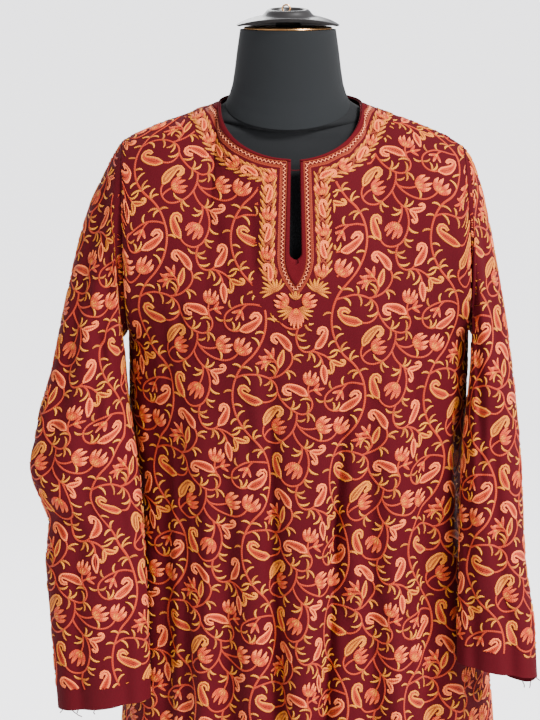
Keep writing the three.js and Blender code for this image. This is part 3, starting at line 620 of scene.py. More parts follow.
def panel_point(face, u, level):
    """Points of a body panel. Level runs 0 to 1 from hem to underarm and 1 to 2 up to the top edge."""
    u, level = np.broadcast_arrays(np.asarray(u, float), np.asarray(level, float))
    below = section(face, u, HEM + (UNDERARM - HEM) * np.minimum(level, 1))
    w = np.maximum(level - 1, 0)[..., None]
    yoke = {name: along(YOKE[face]["u"], values, np.abs(u)) for name, values in YOKE[face].items()}
    start, end = section(face, u, UNDERARM + 0 * u), top_edge(face, u)
    low = start + np.stack([0 * u, yoke["low_y"], yoke["low_z"]], -1)
    high = end + np.stack([0 * u, yoke["high_y"], yoke["high_z"]], -1)
    above = start * (1 - w) ** 3 + 3 * low * w * (1 - w) ** 2 + 3 * high * w**2 * (1 - w) + end * w**3
    p = np.where(level[..., None] <= 1, below, above)
    keep = 1 - np.abs(u) ** 10
    calm = 1 - 0.85 * smooth(1.75, 2, level)
    inward, sideways = folded(face, p[..., 0], p[..., 2])
    share = np.minimum(np.abs(across(u)), 1)
    normal = np.stack([np.sign(u) * share**1.33 / 2, face * (1 - share**2) ** 0.57 / 1.2, 0 * u], -1)
    normal /= np.linalg.norm(normal, axis=-1, keepdims=True)
    p = p - normal * (inward * keep * calm)[..., None]
    p[..., 0] += sideways * keep
    return p


def normals_of(points):
    """Outward normals of a grid of points, by rows from low to high."""
    normal = np.cross(np.gradient(points, axis=1), np.gradient(points, axis=0))
    return normal / np.maximum(np.linalg.norm(normal, axis=-1, keepdims=True), 1e-9)


def unit(v):
    return v / np.linalg.norm(v, axis=-1, keepdims=True)


def flattened(points, normals, upward, middle):
    """Flat place of each point on the cut cloth, in metres: across from its middle column, and up."""
    h = unit(np.cross(upward, normals))
    g = np.cross(normals, h)
    row_step, row_way = np.diff(points, axis=1), (h[:, 1:] + h[:, :-1]) / 2
    column_step, column_way = np.diff(points, axis=0), (g[1:] + g[:-1]) / 2
    u = np.concatenate([np.zeros((len(points), 1)), np.cumsum((row_step * row_way).sum(-1), 1)], 1)
    v = np.concatenate([np.zeros((1, points.shape[1])), np.cumsum((column_step * column_way).sum(-1), 0)], 0)
    x = points[..., 0] * np.sign(h[..., 0])
    u -= np.take_along_axis(u - x, np.broadcast_to(middle, (len(points), 1)), 1)
    return np.stack([u, v], -1) * MM


def grid_faces(rows, columns, skip=None):
    """Quads of a grid facing outwards; skip marks cells that are cut away."""
    i, j = np.meshgrid(np.arange(rows - 1), np.arange(columns - 1), indexing="ij")
    first = i * columns + j
    quads = np.stack([first, first + 1, first + columns + 1, first + columns], -1)
    if skip is not None:
        quads = quads[~skip]
    return quads.reshape(-1, 4)


def two_sided(faces, count):
    """Faces of a sheet's outer side, of its inner side, numbered on from count, and of its rim."""
    edges = np.concatenate([faces[:, [a, (a + 1) % 4]] for a in range(4)])
    way, way_back = edges[:, 0] * count + edges[:, 1], edges[:, 1] * count + edges[:, 0]
    rim = edges[~np.isin(way, way_back)]
    rim_faces = np.stack([rim[:, 1], rim[:, 0], rim[:, 0] + count, rim[:, 1] + count], -1)
    return np.concatenate([faces, faces[:, ::-1] + count, rim_faces])


def add_flat_map(made, places):
    """Each point's place on the flat cloth, in metres, as the map "flat" of a mesh."""
    corners = np.zeros(len(made.data.loops), int)
    made.data.loops.foreach_get("vertex_index", corners)
    made.data.uv_layers.new(name="flat").data.foreach_set("uv", places[corners].ravel())


def cloth_shell(name, cloth, node):
    """A thin sheet of the wool that stands for a node, on its outer points, with its flat cut."""
    outer = cloth["points"].reshape(-1, 3)
    inner = (cloth["points"] - cloth["normals"] * WALL).reshape(-1, 3)
    every = two_sided(cloth["faces"], len(outer))
    used, compact = np.unique(every, return_inverse=True)
    points = np.concatenate([outer, inner])[used]
    made = mesh_piece(name, points, compact.reshape(every.shape), wool, "embroidered_cloth", 50)
    add_flat_map(made, np.concatenate([cloth["flat"].reshape(-1, 2)] * 2)[used])
    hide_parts(node)
    return made


def maroon_wool(name, main, shade, bloom):
    """Fine wool: a close twill under soft nap, with slow changes of tone."""
    cloth = Finish(name, Roughness=0.85, Specular_IOR_Level=0.08, Sheen_Weight=0.05, Sheen_Roughness=0.45)
    cloth.shader.inputs["Sheen Tint"].default_value = colour(190, 60, 60)
    place = cloth.flat_place()
    x, y = cloth.part(place, 0), cloth.part(place, 1)
    drift = cloth.noise(place, 7.0, 3.0)
    fibre = cloth.noise(cloth.stretched(place, (900, 300, 1)), 1.0, 3.0)
    twill = ((x + y) * WOOL_THREADS * math.tau * 0.7).math("SINE")
    thread = (y * WOOL_THREADS * math.tau * 0.5).math("SINE")
    tone = cloth.mix(drift * 0.9, colour(*shade), colour(*main))
    cloth.set("Base Color", cloth.mix(fibre * 0.35, tone, colour(*bloom)))
    cloth.set("Roughness", 0.78 + fibre * 0.16)
    cloth.bump(twill * 0.35 + thread * 0.2 + fibre * 1.2, 0.45, 0.00025)
    return cloth


wool = maroon_wool("maroon_wool", (60, 2, 9), (46, 1, 7), (76, 6, 14))


def slit_half(z):
    """Half the width of the slit at a height; under its round end only a narrow strip of cloth."""
    above_end = z - SLIT["end"] - SLIT["low_half"]
    share = np.clip(above_end / (SLIT["top"] - SLIT["end"] - SLIT["low_half"]), 0, 1.2)
    straight = SLIT["low_half"] + (SLIT["top_half"] - SLIT["low_half"]) * share
    down = np.clip((SLIT["end"] + SLIT["low_half"] - z) / SLIT["low_half"], 0, 1)
    return np.maximum(straight * np.sqrt(1 - down**2), SLIT_FLAT)


def front_columns(level):
    """Columns of the front at one level, of which the middle two run down the slit's edges."""
    tried = np.linspace(-0.16, 0.16, 321)
    p = panel_point(-1, tried, level)
    half = slit_half(p[:, 2])
    left = np.interp(0, p[:, 0] - SLIT["x"] + half, tried)
    right = np.interp(0, p[:, 0] - SLIT["x"] - half, tried)
    shoulder, neck = FRONT_COLUMNS["shoulder"], FRONT_COLUMNS["neck"]
    return np.concatenate(
        [
            np.linspace(-1, -NECK_SHARE, shoulder + 1),
            np.linspace(-NECK_SHARE, left, neck + 1)[1:],
            np.linspace(right, NECK_SHARE, neck + 1),
            np.linspace(NECK_SHARE, 1, shoulder + 1)[1:],
        ]
    )


def panel(face, levels, columns):
    """Points, normals and flat places of one panel, its seam edges half a seam gap short."""
    points = panel_point(face, columns, levels[:, None])
    normals = normals_of(points)
    side = np.abs(np.abs(columns) - 1) < 1e-6
    seam = np.zeros(columns.shape, bool)
    seam[-1] = np.abs(columns[-1]) > NECK_SHARE - 1e-6
    below = (levels <= 1)[:, None] & side
    normals[below] = np.stack([np.sign(columns[below]), 0 * columns[below], 0 * columns[below]], -1)
    normals[seam] = (0, 0, 1)
    points[..., 1] += np.where(side | seam, face * SEAM_GAP / 2, 0)
    points[..., 0] -= np.where(side & (levels >= 1)[:, None], np.sign(columns) * SEAM_GAP / 2, 0)
    back_lean = np.clip(levels - 1, 0, 1) * 0.8
    upward = np.stack([0 * levels, -face * back_lean, 1 + 0 * levels], -1)[:, None, :]
    middle = np.argmin(np.abs(columns), axis=1)[:, None]
    flat = flattened(points, normals, np.broadcast_to(upward, points.shape), middle)
    return points, normals, flat


low_levels = np.linspace(0, 1, FRONT_ROWS["low"])
slit_levels = np.linspace(1, 2, FRONT_ROWS["high"])[1:]
front_levels = np.concatenate([low_levels, 2 - (1 - (slit_levels - 1)) ** FRONT_ROWS["crowding"]])
front_grid = np.array([front_columns(level) for level in front_levels])
front_points, front_normals, front_flat = panel(-1, front_levels, front_grid)
front_skip = np.zeros((len(front_levels) - 1, front_grid.shape[1] - 1), bool)
middle_cell = FRONT_COLUMNS["shoulder"] + FRONT_COLUMNS["neck"]
cell_low = front_points[:-1, middle_cell, 2]
front_skip[:, middle_cell] = cell_low > SLIT["end"] - 0.4
front_faces = grid_faces(*front_grid.shape, front_skip)
front_cloth = {"points": front_points, "normals": front_normals, "flat": front_flat, "faces": front_faces}
front = cloth_shell("front_panel", front_cloth, "front")

back_levels = np.concatenate(
    [np.linspace(0, 1, BACK_ROWS["low"]), np.linspace(1, 2, BACK_ROWS["high"])[1:]]
)
back_neck = np.linspace(NECK_SHARE, -NECK_SHARE, BACK_COLUMNS["neck"])[1:-1]
back_shoulder = np.linspace(1, NECK_SHARE, BACK_COLUMNS["shoulder"])
back_order = np.concatenate([back_shoulder, back_neck, -back_shoulder[::-1]])
back_grid = np.broadcast_to(back_order, (len(back_levels), len(back_order)))
back_points, back_normals, back_flat = panel(1, back_levels, back_grid)
back_faces = grid_faces(*back_grid.shape)
back_cloth = {"points": back_points, "normals": back_normals, "flat": back_flat, "faces": back_faces}
back = cloth_shell("back_panel", back_cloth, "back")


# Sleeves. Each is one long piece of the same wool, sewn along the underarm and set in the
# armhole. It narrows to a raw cuff and lies in soft lengthwise folds, squeezed at the elbow.
SLEEVES = {
    "left": {
        "t": (0, 0.08, 0.2, 0.34, 0.45, 0.52, 0.6, 0.67, 0.76, 0.88, 1),
        "out_x": (-196, -216, -240, -264, -280, -295, -304, -285, -286, -280, -274),
        "out_z": (1357, 1323, 1265, 1166, 1087, 1035, 975, 919, 861, 779, 696),
        "in_x": (-190, -197, -195, -189, -182, -177, -173, -171, -168, -165, -163),
        "in_z": (1135, 1121, 1092, 1046, 1004, 972, 932, 894, 846, 779, 709),
        "y": (0, -4, -14, -34, -50, -59, -69, -77, -87, -96, -103),
        "half": (70, 69, 62, 54, 49, 47, 46, 43, 40, 35, 31),
        "drop": (0,) * 11,
    },
    "right": {
        "t": (0, 0.08, 0.2, 0.34, 0.45, 0.6, 0.76, 0.88, 1),
        "out_x": (206, 219, 234, 251, 261, 272, 278, 289, 294),
        "out_z": (1352, 1331, 1271, 1178, 1109, 998, 879, 806, 737),
        "in_x": (214, 220, 219, 213, 207, 203, 200, 199, 198),
        "in_z": (1135, 1122, 1092, 1051, 1013, 943, 864, 813, 755),
        "y": (0, -4, -14, -34, -50, -76, -95, -103, -109),
        "half": (70, 68, 62, 54, 49, 43, 38, 33, 28),
        "drop": (0, 0, 0, 0, 0, 2, 6, 14, 24),
    },
}
# How far the front of a sleeve lies towards the body, and from where on less so
SKEW = 10
SKEW_FROM = 0.6
# Points round a sleeve and along it
SLEEVE_GRID = (96, 180)
# Lengthwise folds: place round the tube in degrees from the outer edge towards the front,
# start and end along it, depth and half width in degrees
SLEEVE_FOLDS = {
    "left": (
        (38, 0.02, 0.62, 9, 13),
        (84, 0.1, 0.7, 6, 12),
        (120, 0.3, 1.1, 7, 12),
        (62, 0.6, 1.1, 6, 12),
        (250, 0.08, 0.75, 9, 15),
        (300, 0.4, 1.1, 6, 14),
    ),
    "right": (
        (42, 0.02, 0.5, 7, 13),
        (95, 0.06, 0.66, 8, 12),
        (70, 0.45, 1.1, 7, 12),
        (128, 0.3, 1.1, 6, 12),
        (245, 0.06, 0.7, 8, 15),
        (290, 0.35, 1.1, 7, 14),
    ),
}
# Rumples: place round the tube, place along it, depth (negative stands proud), half width
# in degrees, half length and slant
SLEEVE_RUMPLES = {
    "left": (
        (20, 0.5, -4, 40, 0.03, 0.0006),
        (15, 0.565, 5, 46, 0.016, 0.0006),
        (18, 0.61, -4, 44, 0.026, 0.0006),
        (14, 0.665, 5, 50, 0.016, -0.0004),
        (22, 0.72, -3, 44, 0.03, -0.0004),
        (150, 0.42, 3, 40, 0.02, -0.0006),
        (160, 0.56, 3, 40, 0.02, 0.0006),
        (70, 0.3, 2.5, 34, 0.02, 0.001),
        (330, 0.6, 4, 50, 0.022, 0.0004),
    ),
    "right": (
        (24, 0.44, 2.5, 40, 0.024, -0.0006),
        (30, 0.58, 3, 46, 0.02, -0.0006),
        (150, 0.36, 3, 40, 0.022, 0.0006),
        (140, 0.66, 3, 40, 0.02, 0.0006),
        (320, 0.52, 3.5, 50, 0.024, 0.0004),
        (80, 0.84, 2, 40, 0.02, 0.0005),
    ),
}


def armhole_point(side, angle):
    """The armhole's edge, for an angle round the sleeve from the shoulder tip forwards."""
    u = -1 if side == "left" else 1
    turn = np.where(angle <= 180, angle, 360 - angle)
    level = 2 - turn / 180
    p = np.where((angle <= 180)[..., None], panel_point(-1, u, level), panel_point(1, u, level))
    p[..., 0] += u * SEAM_GAP / 2
    return p


def sleeve_point(side, t, angle):
    """Points of a sleeve, for the share of the way to the cuff and an angle round the tube."""
    table = SLEEVES[side]
    t, angle = np.broadcast_arrays(np.asarray(t, float), np.asarray(angle, float))
    row = {name: along(table["t"], values, t) for name, values in table.items()}
    outer = np.stack([row["out_x"], row["y"], row["out_z"]], -1)
    inner = np.stack([row["in_x"], row["y"], row["in_z"]], -1)
    half, middle = (outer - inner) / 2, (outer + inner) / 2
    turn = np.radians(angle)
    inward = 0.4 * np.sin(angle / 11 + 3 * np.sin(t * 9)) * np.sin(t * 21 + angle / 60)
    for at, start, end, depth, width in SLEEVE_FOLDS[side]:
        grown = smooth(start, start + 0.12, t) * (1 - smooth(end - 0.12, end, t))
        inward = inward + grown * depth * np.exp(-(((angle - at) / width) ** 2))
    for at, place, depth, width, length, slant in SLEEVE_RUMPLES[side]:
        off = (angle - at + 180) % 360 - 180
        inward = inward + depth * np.exp(-((off / width) ** 2) - ((t - place - slant * off) / length) ** 2)
    reach = 1 - inward / row["half"]
    p = middle + half * (np.cos(turn) * (0.75 + 0.25 * reach))[..., None]
    p[..., 1] -= row["half"] * np.sin(turn) * reach
    p[..., 0] += (1 if side == "left" else -1) * SKEW * (1 - smooth(SKEW_FROM, 1, t)) * np.sin(turn)
    p[..., 2] -= row["drop"] * np.maximum(-np.sin(turn), 0) * np.maximum(np.cos(turn) + 0.3, 0)
    joined = (1 - smooth(0, 0.16, t))[..., None]
    first = {name: values[0] for name, values in table.items()}
    start = np.array([first["out_x"] + first["in_x"], 0, first["out_z"] + first["in_z"]]) / 2
    edge = armhole_point(side, angle) - start
    return p + (middle + edge - p) * joined


def developed(points, normals, middle):
    """Flat places of a tube cut open, measured along it and round it from its middle column."""
    axis = unit(np.gradient(points.mean(1), axis=0))[:, None]
    g = unit(axis - (axis * normals).sum(-1, keepdims=True) * normals)
    h = np.cross(g, normals)
    row, column = np.diff(points, axis=1), np.diff(points, axis=0)
    row_way = [((way[:, 1:] + way[:, :-1]) / 2 * row).sum(-1) for way in (h, g)]
    column_way = [((way[1:] + way[:-1]) / 2 * column).sum(-1) for way in (h, g)]
    u, v = np.zeros(points.shape[:2]), np.zeros(points.shape[:2])
    u[:, 1:] = np.cumsum(row_way[0], 1)
    u -= u[:, [middle]]
    u[1:] += np.cumsum(column_way[0][:, [middle]], 0)
    v[0, 1:] = np.cumsum(row_way[1][0])
    v[1:] = v[0] + np.cumsum(column_way[1], 0)
    return np.stack([u, v - v[0, middle]], -1) * MM


def sleeve_grid(side, around, steps):
    """Points, normals and flat places of a sleeve, cut open along the underarm for its flat map."""
    turns = np.linspace(-180, 180, around + 1) % 360
    turns[[0, -1]] = 180
    order = turns if side == "left" else turns[::-1]
    t = np.concatenate([np.linspace(0, 0.2, steps // 4), np.linspace(0.2, 1, steps - steps // 4)[1:]])[::-1]
    points = sleeve_point(side, t[:, None], order[None, :])
    wrapped = np.concatenate([points[:, -2:-1], points, points[:, 1:2]], 1)
    normals = normals_of(wrapped)[:, 1:-1]
    normals[:, -1] = normals[:, 0]
    normals[-1, :, 0] = 0
    normals[-1] = unit(normals[-1])
    return points, normals, developed(points, normals, around // 2)


sleeves = {}
for side in ("left", "right"):
    points, normals, flat = sleeve_grid(side, *SLEEVE_GRID)
    faces = grid_faces(*points.shape[:2])
    sleeves[side] = {"points": points, "normals": normals, "flat": flat, "faces": faces}
    sleeves[side]["piece"] = cloth_shell("sleeve_" + side + "_cloth", sleeves[side], "sleeve_" + side)


# Strips. A narrow plain strip of the same wool is turned along the neckline, and a wider one
# runs round the slit and ends in a point below it. Both are sewn flat on the panels.
NECK_STRIP = {"shoulder": 8, "centre": 2.2}
SLIT_STRIP = {"z": (1241, 1345), "half": (11.9, 8.6), "bend": (13.2, 1219), "point": 1203}
LAID_GAP = 0.6
STRIP_THICKNESS = 0.9
STRIP_ACROSS = 6
# The strip round the neckline starts this far from the cut edge
STRIP_INSET = 0.25
# The slit's strip lies in rows from these heights down at its two edges, in even steps and a
# little clear of the slit, and goes round the slit's end in so many points
SLIT_ROWS = {"top": 1334, "outer_top": 1346, "step": 3, "clear": 0.5, "round": 12}
# A place near the slit is worked out from so many of the front's nearest points above a height
NEAR_SLIT = {"z": 1100, "points": 8}


def nodes_of(tree):
    """A maker of nodes in a tree: kind, values or links of its sockets, and settings."""

    def node(kind, inputs=(), **settings):
        made = tree.nodes.new(kind)
        for setting, value in settings.items():
            setattr(made, setting, value)
        for socket, value in inputs.items() if isinstance(inputs, dict) else enumerate(inputs):
            if isinstance(value, bpy.types.NodeSocket):
                tree.links.new(value, made.inputs[socket])
            else:
                made.inputs[socket].default_value = value
        return made.outputs

    return node


def laying_tree():
    """Copies of flat work set out in columns, each half a repeat off the last, are cut off where
    there is no cloth or no room, and laid on the cloth by its flat map."""
    tree = bpy.data.node_groups.new("work_laid_on_cloth", "GeometryNodeTree")
    wanted = (
        ("Geometry", "Geometry"), ("Work", "Object"), ("Cloth", "Object"), ("Columns", "Int"),
        ("Rows", "Int"), ("Across", "Float"), ("Along", "Float"), ("Start", "Vector"),
        ("Margin", "Float"), ("Finish", "Material"),
    )
    for name, kind in wanted:
        tree.interface.new_socket(name, in_out="INPUT", socket_type="NodeSocket" + kind)
    tree.interface.new_socket("Geometry", in_out="OUTPUT", socket_type="NodeSocketGeometry")
    node = nodes_of(tree)
    given = node("NodeGroupInput")

    def math_node(operation, *values):
        return node("ShaderNodeMath", values, operation=operation)[0]

    index = node("GeometryNodeInputIndex")[0]
    column = math_node("MODULO", index, given["Columns"])
    row = math_node("FLOOR", math_node("DIVIDE", index, given["Columns"]))
    lower = math_node("MULTIPLY", math_node("MODULO", column, 2.0), 0.5)
    x = math_node("MULTIPLY", column, given["Across"])
    y = math_node("MULTIPLY", math_node("ADD", row, lower), given["Along"])
    moved = node("ShaderNodeCombineXYZ", (x, y))[0]
    place = node("ShaderNodeVectorMath", (given["Start"], moved), operation="ADD")[0]
    count = math_node("MULTIPLY", given["Columns"], given["Rows"])
    spots = node("GeometryNodePoints", {"Count": count, "Position": place})[0]
    work = node("GeometryNodeObjectInfo", {"Object": given["Work"]})["Geometry"]
    copies = node("GeometryNodeInstanceOnPoints", {"Points": spots, "Instance": work})[0]
    flat_work = node("GeometryNodeRealizeInstances", (copies,))[0]

    cloth = node("GeometryNodeObjectInfo", {"Object": given["Cloth"]})["Geometry"]

    def on_cloth(value, data_type):
        inputs = {"Mesh": cloth, "Value": value, "UV Map": flat_map, "Sample UV": here}
        return node("GeometryNodeSampleUVSurface", inputs, data_type=data_type)

    def attribute(name, data_type):
        return node("GeometryNodeInputNamedAttribute", (name,), data_type=data_type)[0]

    flat_map, here = attribute("flat", "FLOAT_VECTOR"), node("GeometryNodeInputPosition")[0]
    surface = on_cloth(here, "FLOAT_VECTOR")
    outward = on_cloth(attribute("outward", "FLOAT_VECTOR"), "FLOAT_VECTOR")[0]
    room = on_cloth(attribute("room", "FLOAT"), "FLOAT")[0]
    off_cloth = node("FunctionNodeBooleanMath", (surface["Is Valid"],), operation="NOT")[0]
    less = {"data_type": "FLOAT", "operation": "LESS_THAN"}
    crowded = node("FunctionNodeCompare", (room, given["Margin"]), **less)[0]
    cut_away = node("FunctionNodeBooleanMath", (off_cloth, crowded), operation="OR")[0]
    whole = {"Geometry": flat_work, "Selection": cut_away}
    kept = node("GeometryNodeDeleteGeometry", whole, domain="POINT")[0]
    height = node("ShaderNodeSeparateXYZ", (here,))[2]
    lift = node("ShaderNodeVectorMath", {0: outward, "Scale": height}, operation="SCALE")[0]
    laid_place = node("ShaderNodeVectorMath", (surface[0], lift), operation="ADD")[0]
    laid = node("GeometryNodeSetPosition", {"Geometry": kept, "Position": laid_place})[0]
    real = node("GeometryNodeRealizeInstances", (laid,))[0]
    finished = node("GeometryNodeSetMaterial", {"Geometry": real, "Material": given["Finish"]})[0]
    node("NodeGroupOutput", (finished,))
    return tree


work_laid_on_cloth = laying_tree()
# Objects that only help to lay the work and are removed at the end
helpers = []


def helper_object(name, points, faces):
    helpers.append(mesh_object(name, points, faces))
    return helpers[-1]


def outer_side(cloth, room):
    """The outer side of a cloth alone, with its flat map, outward directions and room for sewing."""
    side = helper_object("outer_side", cloth["points"].reshape(-1, 3), cloth["faces"])
    add_flat_map(side, cloth["flat"].reshape(-1, 2))
    outward = side.data.attributes.new("outward", "FLOAT_VECTOR", "POINT")
    outward.data.foreach_set("vector", cloth["normals"].ravel())
    side.data.attributes.new("room", "FLOAT", "POINT").data.foreach_set("value", room.ravel() * MM)
    return side


def flat_work(points, faces, places, tints=None):
    """Flat work with its map of places in millimetres, and the colour of each point if given."""
    work = helper_object("flat_work", points, faces)
    add_flat_map(work, np.asarray(places, float) * MM)
    if tints is not None:
        layer = work.data.color_attributes.new("tint", "FLOAT_COLOR", "POINT")
        layer.data.foreach_set("color", np.column_stack([tints, np.ones(len(tints))]).ravel())
    return work


def lay(name, work, cloth, finish, columns=1, rows=1, repeat=(0, 0), start=(0, 0), margin=-1.0):
    """Flat work laid on the outer side of a cloth, as one riding piece."""
    made = in_scene(name, bpy.data.meshes.new(name))
    modifier = made.modifiers.new("laid", "NODES")
    modifier.node_group = work_laid_on_cloth
    wanted = {
        "Work": work, "Cloth": cloth, "Columns": columns, "Rows": rows, "Across": repeat[0] * MM,
        "Along": repeat[1] * MM, "Start": (start[0] * MM, start[1] * MM, 0.0), "Margin": margin,
        "Finish": finish.material,
    }
    for item in work_laid_on_cloth.interface.items_tree:
        if item.in_out == "INPUT" and item.name in wanted:
            modifier[item.identifier] = wanted[item.name]
    evaluated = made.evaluated_get(bpy.context.evaluated_depsgraph_get())
    laid = bpy.data.meshes.new_from_object(evaluated)
    made.modifiers.clear()
    made.data = laid
    laid.polygons.foreach_set("use_smooth", np.ones(len(laid.polygons), bool))
    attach(made, "root")
    return made


def run_along(line):
    """How far along a line of points each of them lies."""
    return np.concatenate([[0], np.cumsum(np.linalg.norm(np.diff(line, axis=0), axis=1))])


def even(line, step):
    """The same line with points at about even steps."""
    run = run_along(line)
    at = np.linspace(0, run[-1], max(int(round(run[-1] / step)), 1) + 1)
    return np.stack([np.interp(at, run, line[:, i]) for i in (0, 1)], -1)


def beside(line, off):
    """A line moved to its right by so many millimetres."""
    way = unit(np.gradient(line, axis=0))
    return line + np.stack([way[:, 1], -way[:, 0]], -1) * np.reshape(off, (-1, 1))


def flat_at(places):
    """Flat places on the front, in millimetres, of points given by their X and Z near the slit."""
    near = front_points[..., 2].ravel() > NEAR_SLIT["z"]
    points, flat = front_points.reshape(-1, 3)[near][:, [0, 2]], front_flat.reshape(-1, 2)[near] / MM
    count = NEAR_SLIT["points"]
    found = []
    for place in places:
        picked = np.argpartition(((points - place) ** 2).sum(1), count)[:count]
        known = np.column_stack([points[picked] - place, np.ones(count)])
        found.append(np.linalg.lstsq(known, flat[picked], rcond=None)[0][2])
    return np.array(found)


def strip_width(u):
    narrow = np.cos(u / NECK_SHARE * math.pi / 2) ** 2
    return NECK_STRIP["shoulder"] + (NECK_STRIP["centre"] - NECK_STRIP["shoulder"]) * narrow


def neck_line(flat, columns, widths):
    """A stretch of neckline on the flat cloth in even steps, with the strip's width along it."""
    line = flat[columns] / MM
    run, even_line = run_along(line), even(line, 2.5)
    at = np.linspace(0, run[-1], len(even_line))
    return even_line, np.interp(at, run, widths)


def strip_half(z):
    return np.interp(z, SLIT_STRIP["z"], SLIT_STRIP["half"])


def slit_line(sign, off):
    """A line beside the slit, X and Z, so far outside its strip, from the top down to the point."""
    low = SLIT_STRIP["z"][0] - 0.2 * off
    heights = np.arange(SLIT_ROWS["outer_top"], low + 1, -SLIT_ROWS["step"])
    straight = [(strip_half(z) + off, z) for z in heights]
    start, point = np.array((strip_half(low) + off, low)), np.array((0, SLIT_STRIP["point"] - 1.35 * off))
    bend = np.array(SLIT_STRIP["bend"]) + (off, -0.5 * off)
    s = np.linspace(0, 1, SLIT_ROWS["round"])[:, None]
    curve = start * (1 - s) ** 2 + 2 * bend * s * (1 - s) + point * s**2
    return np.concatenate([straight, curve]) * (sign, 1) + (SLIT["x"], 0)


front_u = front_grid[-1]
left_columns = np.arange(FRONT_COLUMNS["shoulder"], middle_cell + 1)
right_columns = np.arange(middle_cell + 1, len(front_u) - FRONT_COLUMNS["shoulder"])
neck_left = neck_line(front_flat[-1], left_columns, strip_width(front_u[left_columns]))
neck_right = neck_line(front_flat[-1], right_columns, strip_width(front_u[right_columns]))
back_columns = np.flatnonzero(np.abs(back_order) < NECK_SHARE + 1e-6)
back_widths = np.full(len(back_columns), float(NECK_STRIP["shoulder"]))
neck_back = neck_line(back_flat[-1], back_columns, back_widths)


def slab(lines):
    """A flat strip with rolled edges, from its lines of points, inner edge first."""
    across_count, along_count = len(lines), len(lines[0])
    roll = 1 - 0.3 * np.abs(np.linspace(-1, 1, across_count)) ** 3
    points, places = [], []
    for height in (LAID_GAP + STRIP_THICKNESS * roll, LAID_GAP + 0 * roll):
        for line, z in zip(lines, height):
            points += [(x, y, z) for x, y in line]
            places += [(x, y) for x, y in line]
    upper = grid_faces(across_count, along_count)
    area = np.cross(lines[0][1] - lines[0][0], lines[1][0] - lines[0][0])
    upper = upper if area > 0 else upper[:, ::-1]
    return points, two_sided(upper, across_count * along_count), places


def neck_slab(neck):
    line, widths = neck
    shares = np.linspace(0, 1, STRIP_ACROSS)
    return slab([beside(line, STRIP_INSET + (widths - STRIP_INSET) * s) for s in shares])


def slit_slab():
    """The strip round the slit: down one side, round the slit's end to the point, and up again."""
    x, round_z = SLIT["x"], SLIT["end"] + SLIT["low_half"]
    clear, count = SLIT_ROWS["clear"], SLIT_ROWS["round"]
    radius = SLIT["low_half"] + clear
    shares = np.linspace(0, 1, STRIP_ACROSS)
    stations = []
    for sign, (neck, _) in ((-1, neck_left), (1, neck_right)):
        side = []
        for z in np.arange(SLIT_ROWS["top"], round_z + 1, -SLIT_ROWS["step"]):
            inner_x, outer_x = x + sign * (slit_half(z) + clear), x + sign * strip_half(z)
            side.append([(inner_x + (outer_x - inner_x) * s, z) for s in shares])
        for turn, edge in zip(np.linspace(0, math.pi / 2, count), slit_line(sign, 0)[-count:]):
            inner = np.array([x + sign * radius * math.cos(turn), round_z - radius * math.sin(turn)])
            side.append([inner + (edge - inner) * s for s in shares])
        flat_side = [flat_at(station) for station in side]
        first = flat_side[0].copy()
        first[:, 1] = np.interp(first[:, 0], neck[:, 0], neck[:, 1]) - NECK_STRIP["centre"] - 1.0
        stations.append([first] + [station for station in flat_side if station[0, 1] < first[:, 1].min() - 1])
    rows = np.array(stations[0] + stations[1][::-1][1:])
    return slab([rows[:, i] for i in range(STRIP_ACROSS)])


plain_wool = maroon_wool("plain_wool", (64, 2, 8), (52, 1, 6), (80, 6, 13))
bare_front = outer_side(front_cloth, np.ones(front_points.shape[:2]))
bare_back = outer_side(back_cloth, np.ones(back_points.shape[:2]))
neck_parts = [
    lay("neck_strip", flat_work(*neck_slab(neck)), cloth, plain_wool)
    for neck, cloth in ((neck_left, bare_front), (neck_right, bare_front), (neck_back, bare_back))
]
neck_strip = neck_parts[0]
with bpy.context.temp_override(active_object=neck_strip, selected_editable_objects=neck_parts):
    bpy.ops.object.join()
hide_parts("neck_facing")
slit_strip = lay("slit_strip", flat_work(*slit_slab()), bare_front, plain_wool)
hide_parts("slit_facing")


# Embroidery. Rows of chain stitch in wool thread, hooked through the panels before they were
# sewn: a winding vine with paisleys, flowers, buds and leaf curls, in a half-drop repeat.
THREADS = {
    "vine": (146, 37, 2), "vine_light": (160, 48, 4), "leaf": (180, 102, 0), "leaf_dark": (138, 64, 0),
    "leaf_light": (208, 138, 9), "gold": (196, 112, 6), "pink": (216, 104, 48), "rose": (180, 69, 18),
    "salmon": (162, 45, 6), "core": (132, 29, 3), "rust": (120, 34, 4), "brown": (112, 38, 4),
    "cream": (216, 124, 84),
}
# Threads of a paisley: its outline, its second row, its core and the ground between them
SHADES = {
    "pink": ("pink", "salmon", "core", "rose"),
    "gold": ("gold", "salmon", "core", "salmon"),
    "amber": ("gold", "leaf_dark", "gold", "leaf"),
}
STITCH_STEP = 2.8
# A paisley's middle line: its points, and its length and half width as shares of its size
DROP = {"points": 60, "length": 1.42, "half": 0.168}


def arcs_from(place, heading, arcs, step=STITCH_STEP):
    """A line of points through arcs (radius, sweep in degrees, left turns positive), and its headings."""
    line, headings = [np.array(place, float)], [heading]
    for radius, sweep in arcs:
        parts = max(2, round(abs(math.radians(sweep)) * radius / step))
        turn = sweep / parts
        chord = 2 * radius * math.sin(abs(math.radians(turn)) / 2)
        for _ in range(parts):
            way = math.radians(headings[-1] + turn / 2)
            line.append(line[-1] + chord * np.array([math.cos(way), math.sin(way)]))
            headings.append(headings[-1] + turn)
    return np.array(line), np.array(headings)


def placed(line, place, heading, side=1):
    """A motif's line, drawn growing along X from the origin, turned and moved to its place."""
    c, s = math.cos(math.radians(heading)), math.sin(math.radians(heading))
    line = np.asarray(line, float) * (1, side)
    return line @ np.array([[c, s], [-s, c]]) + place


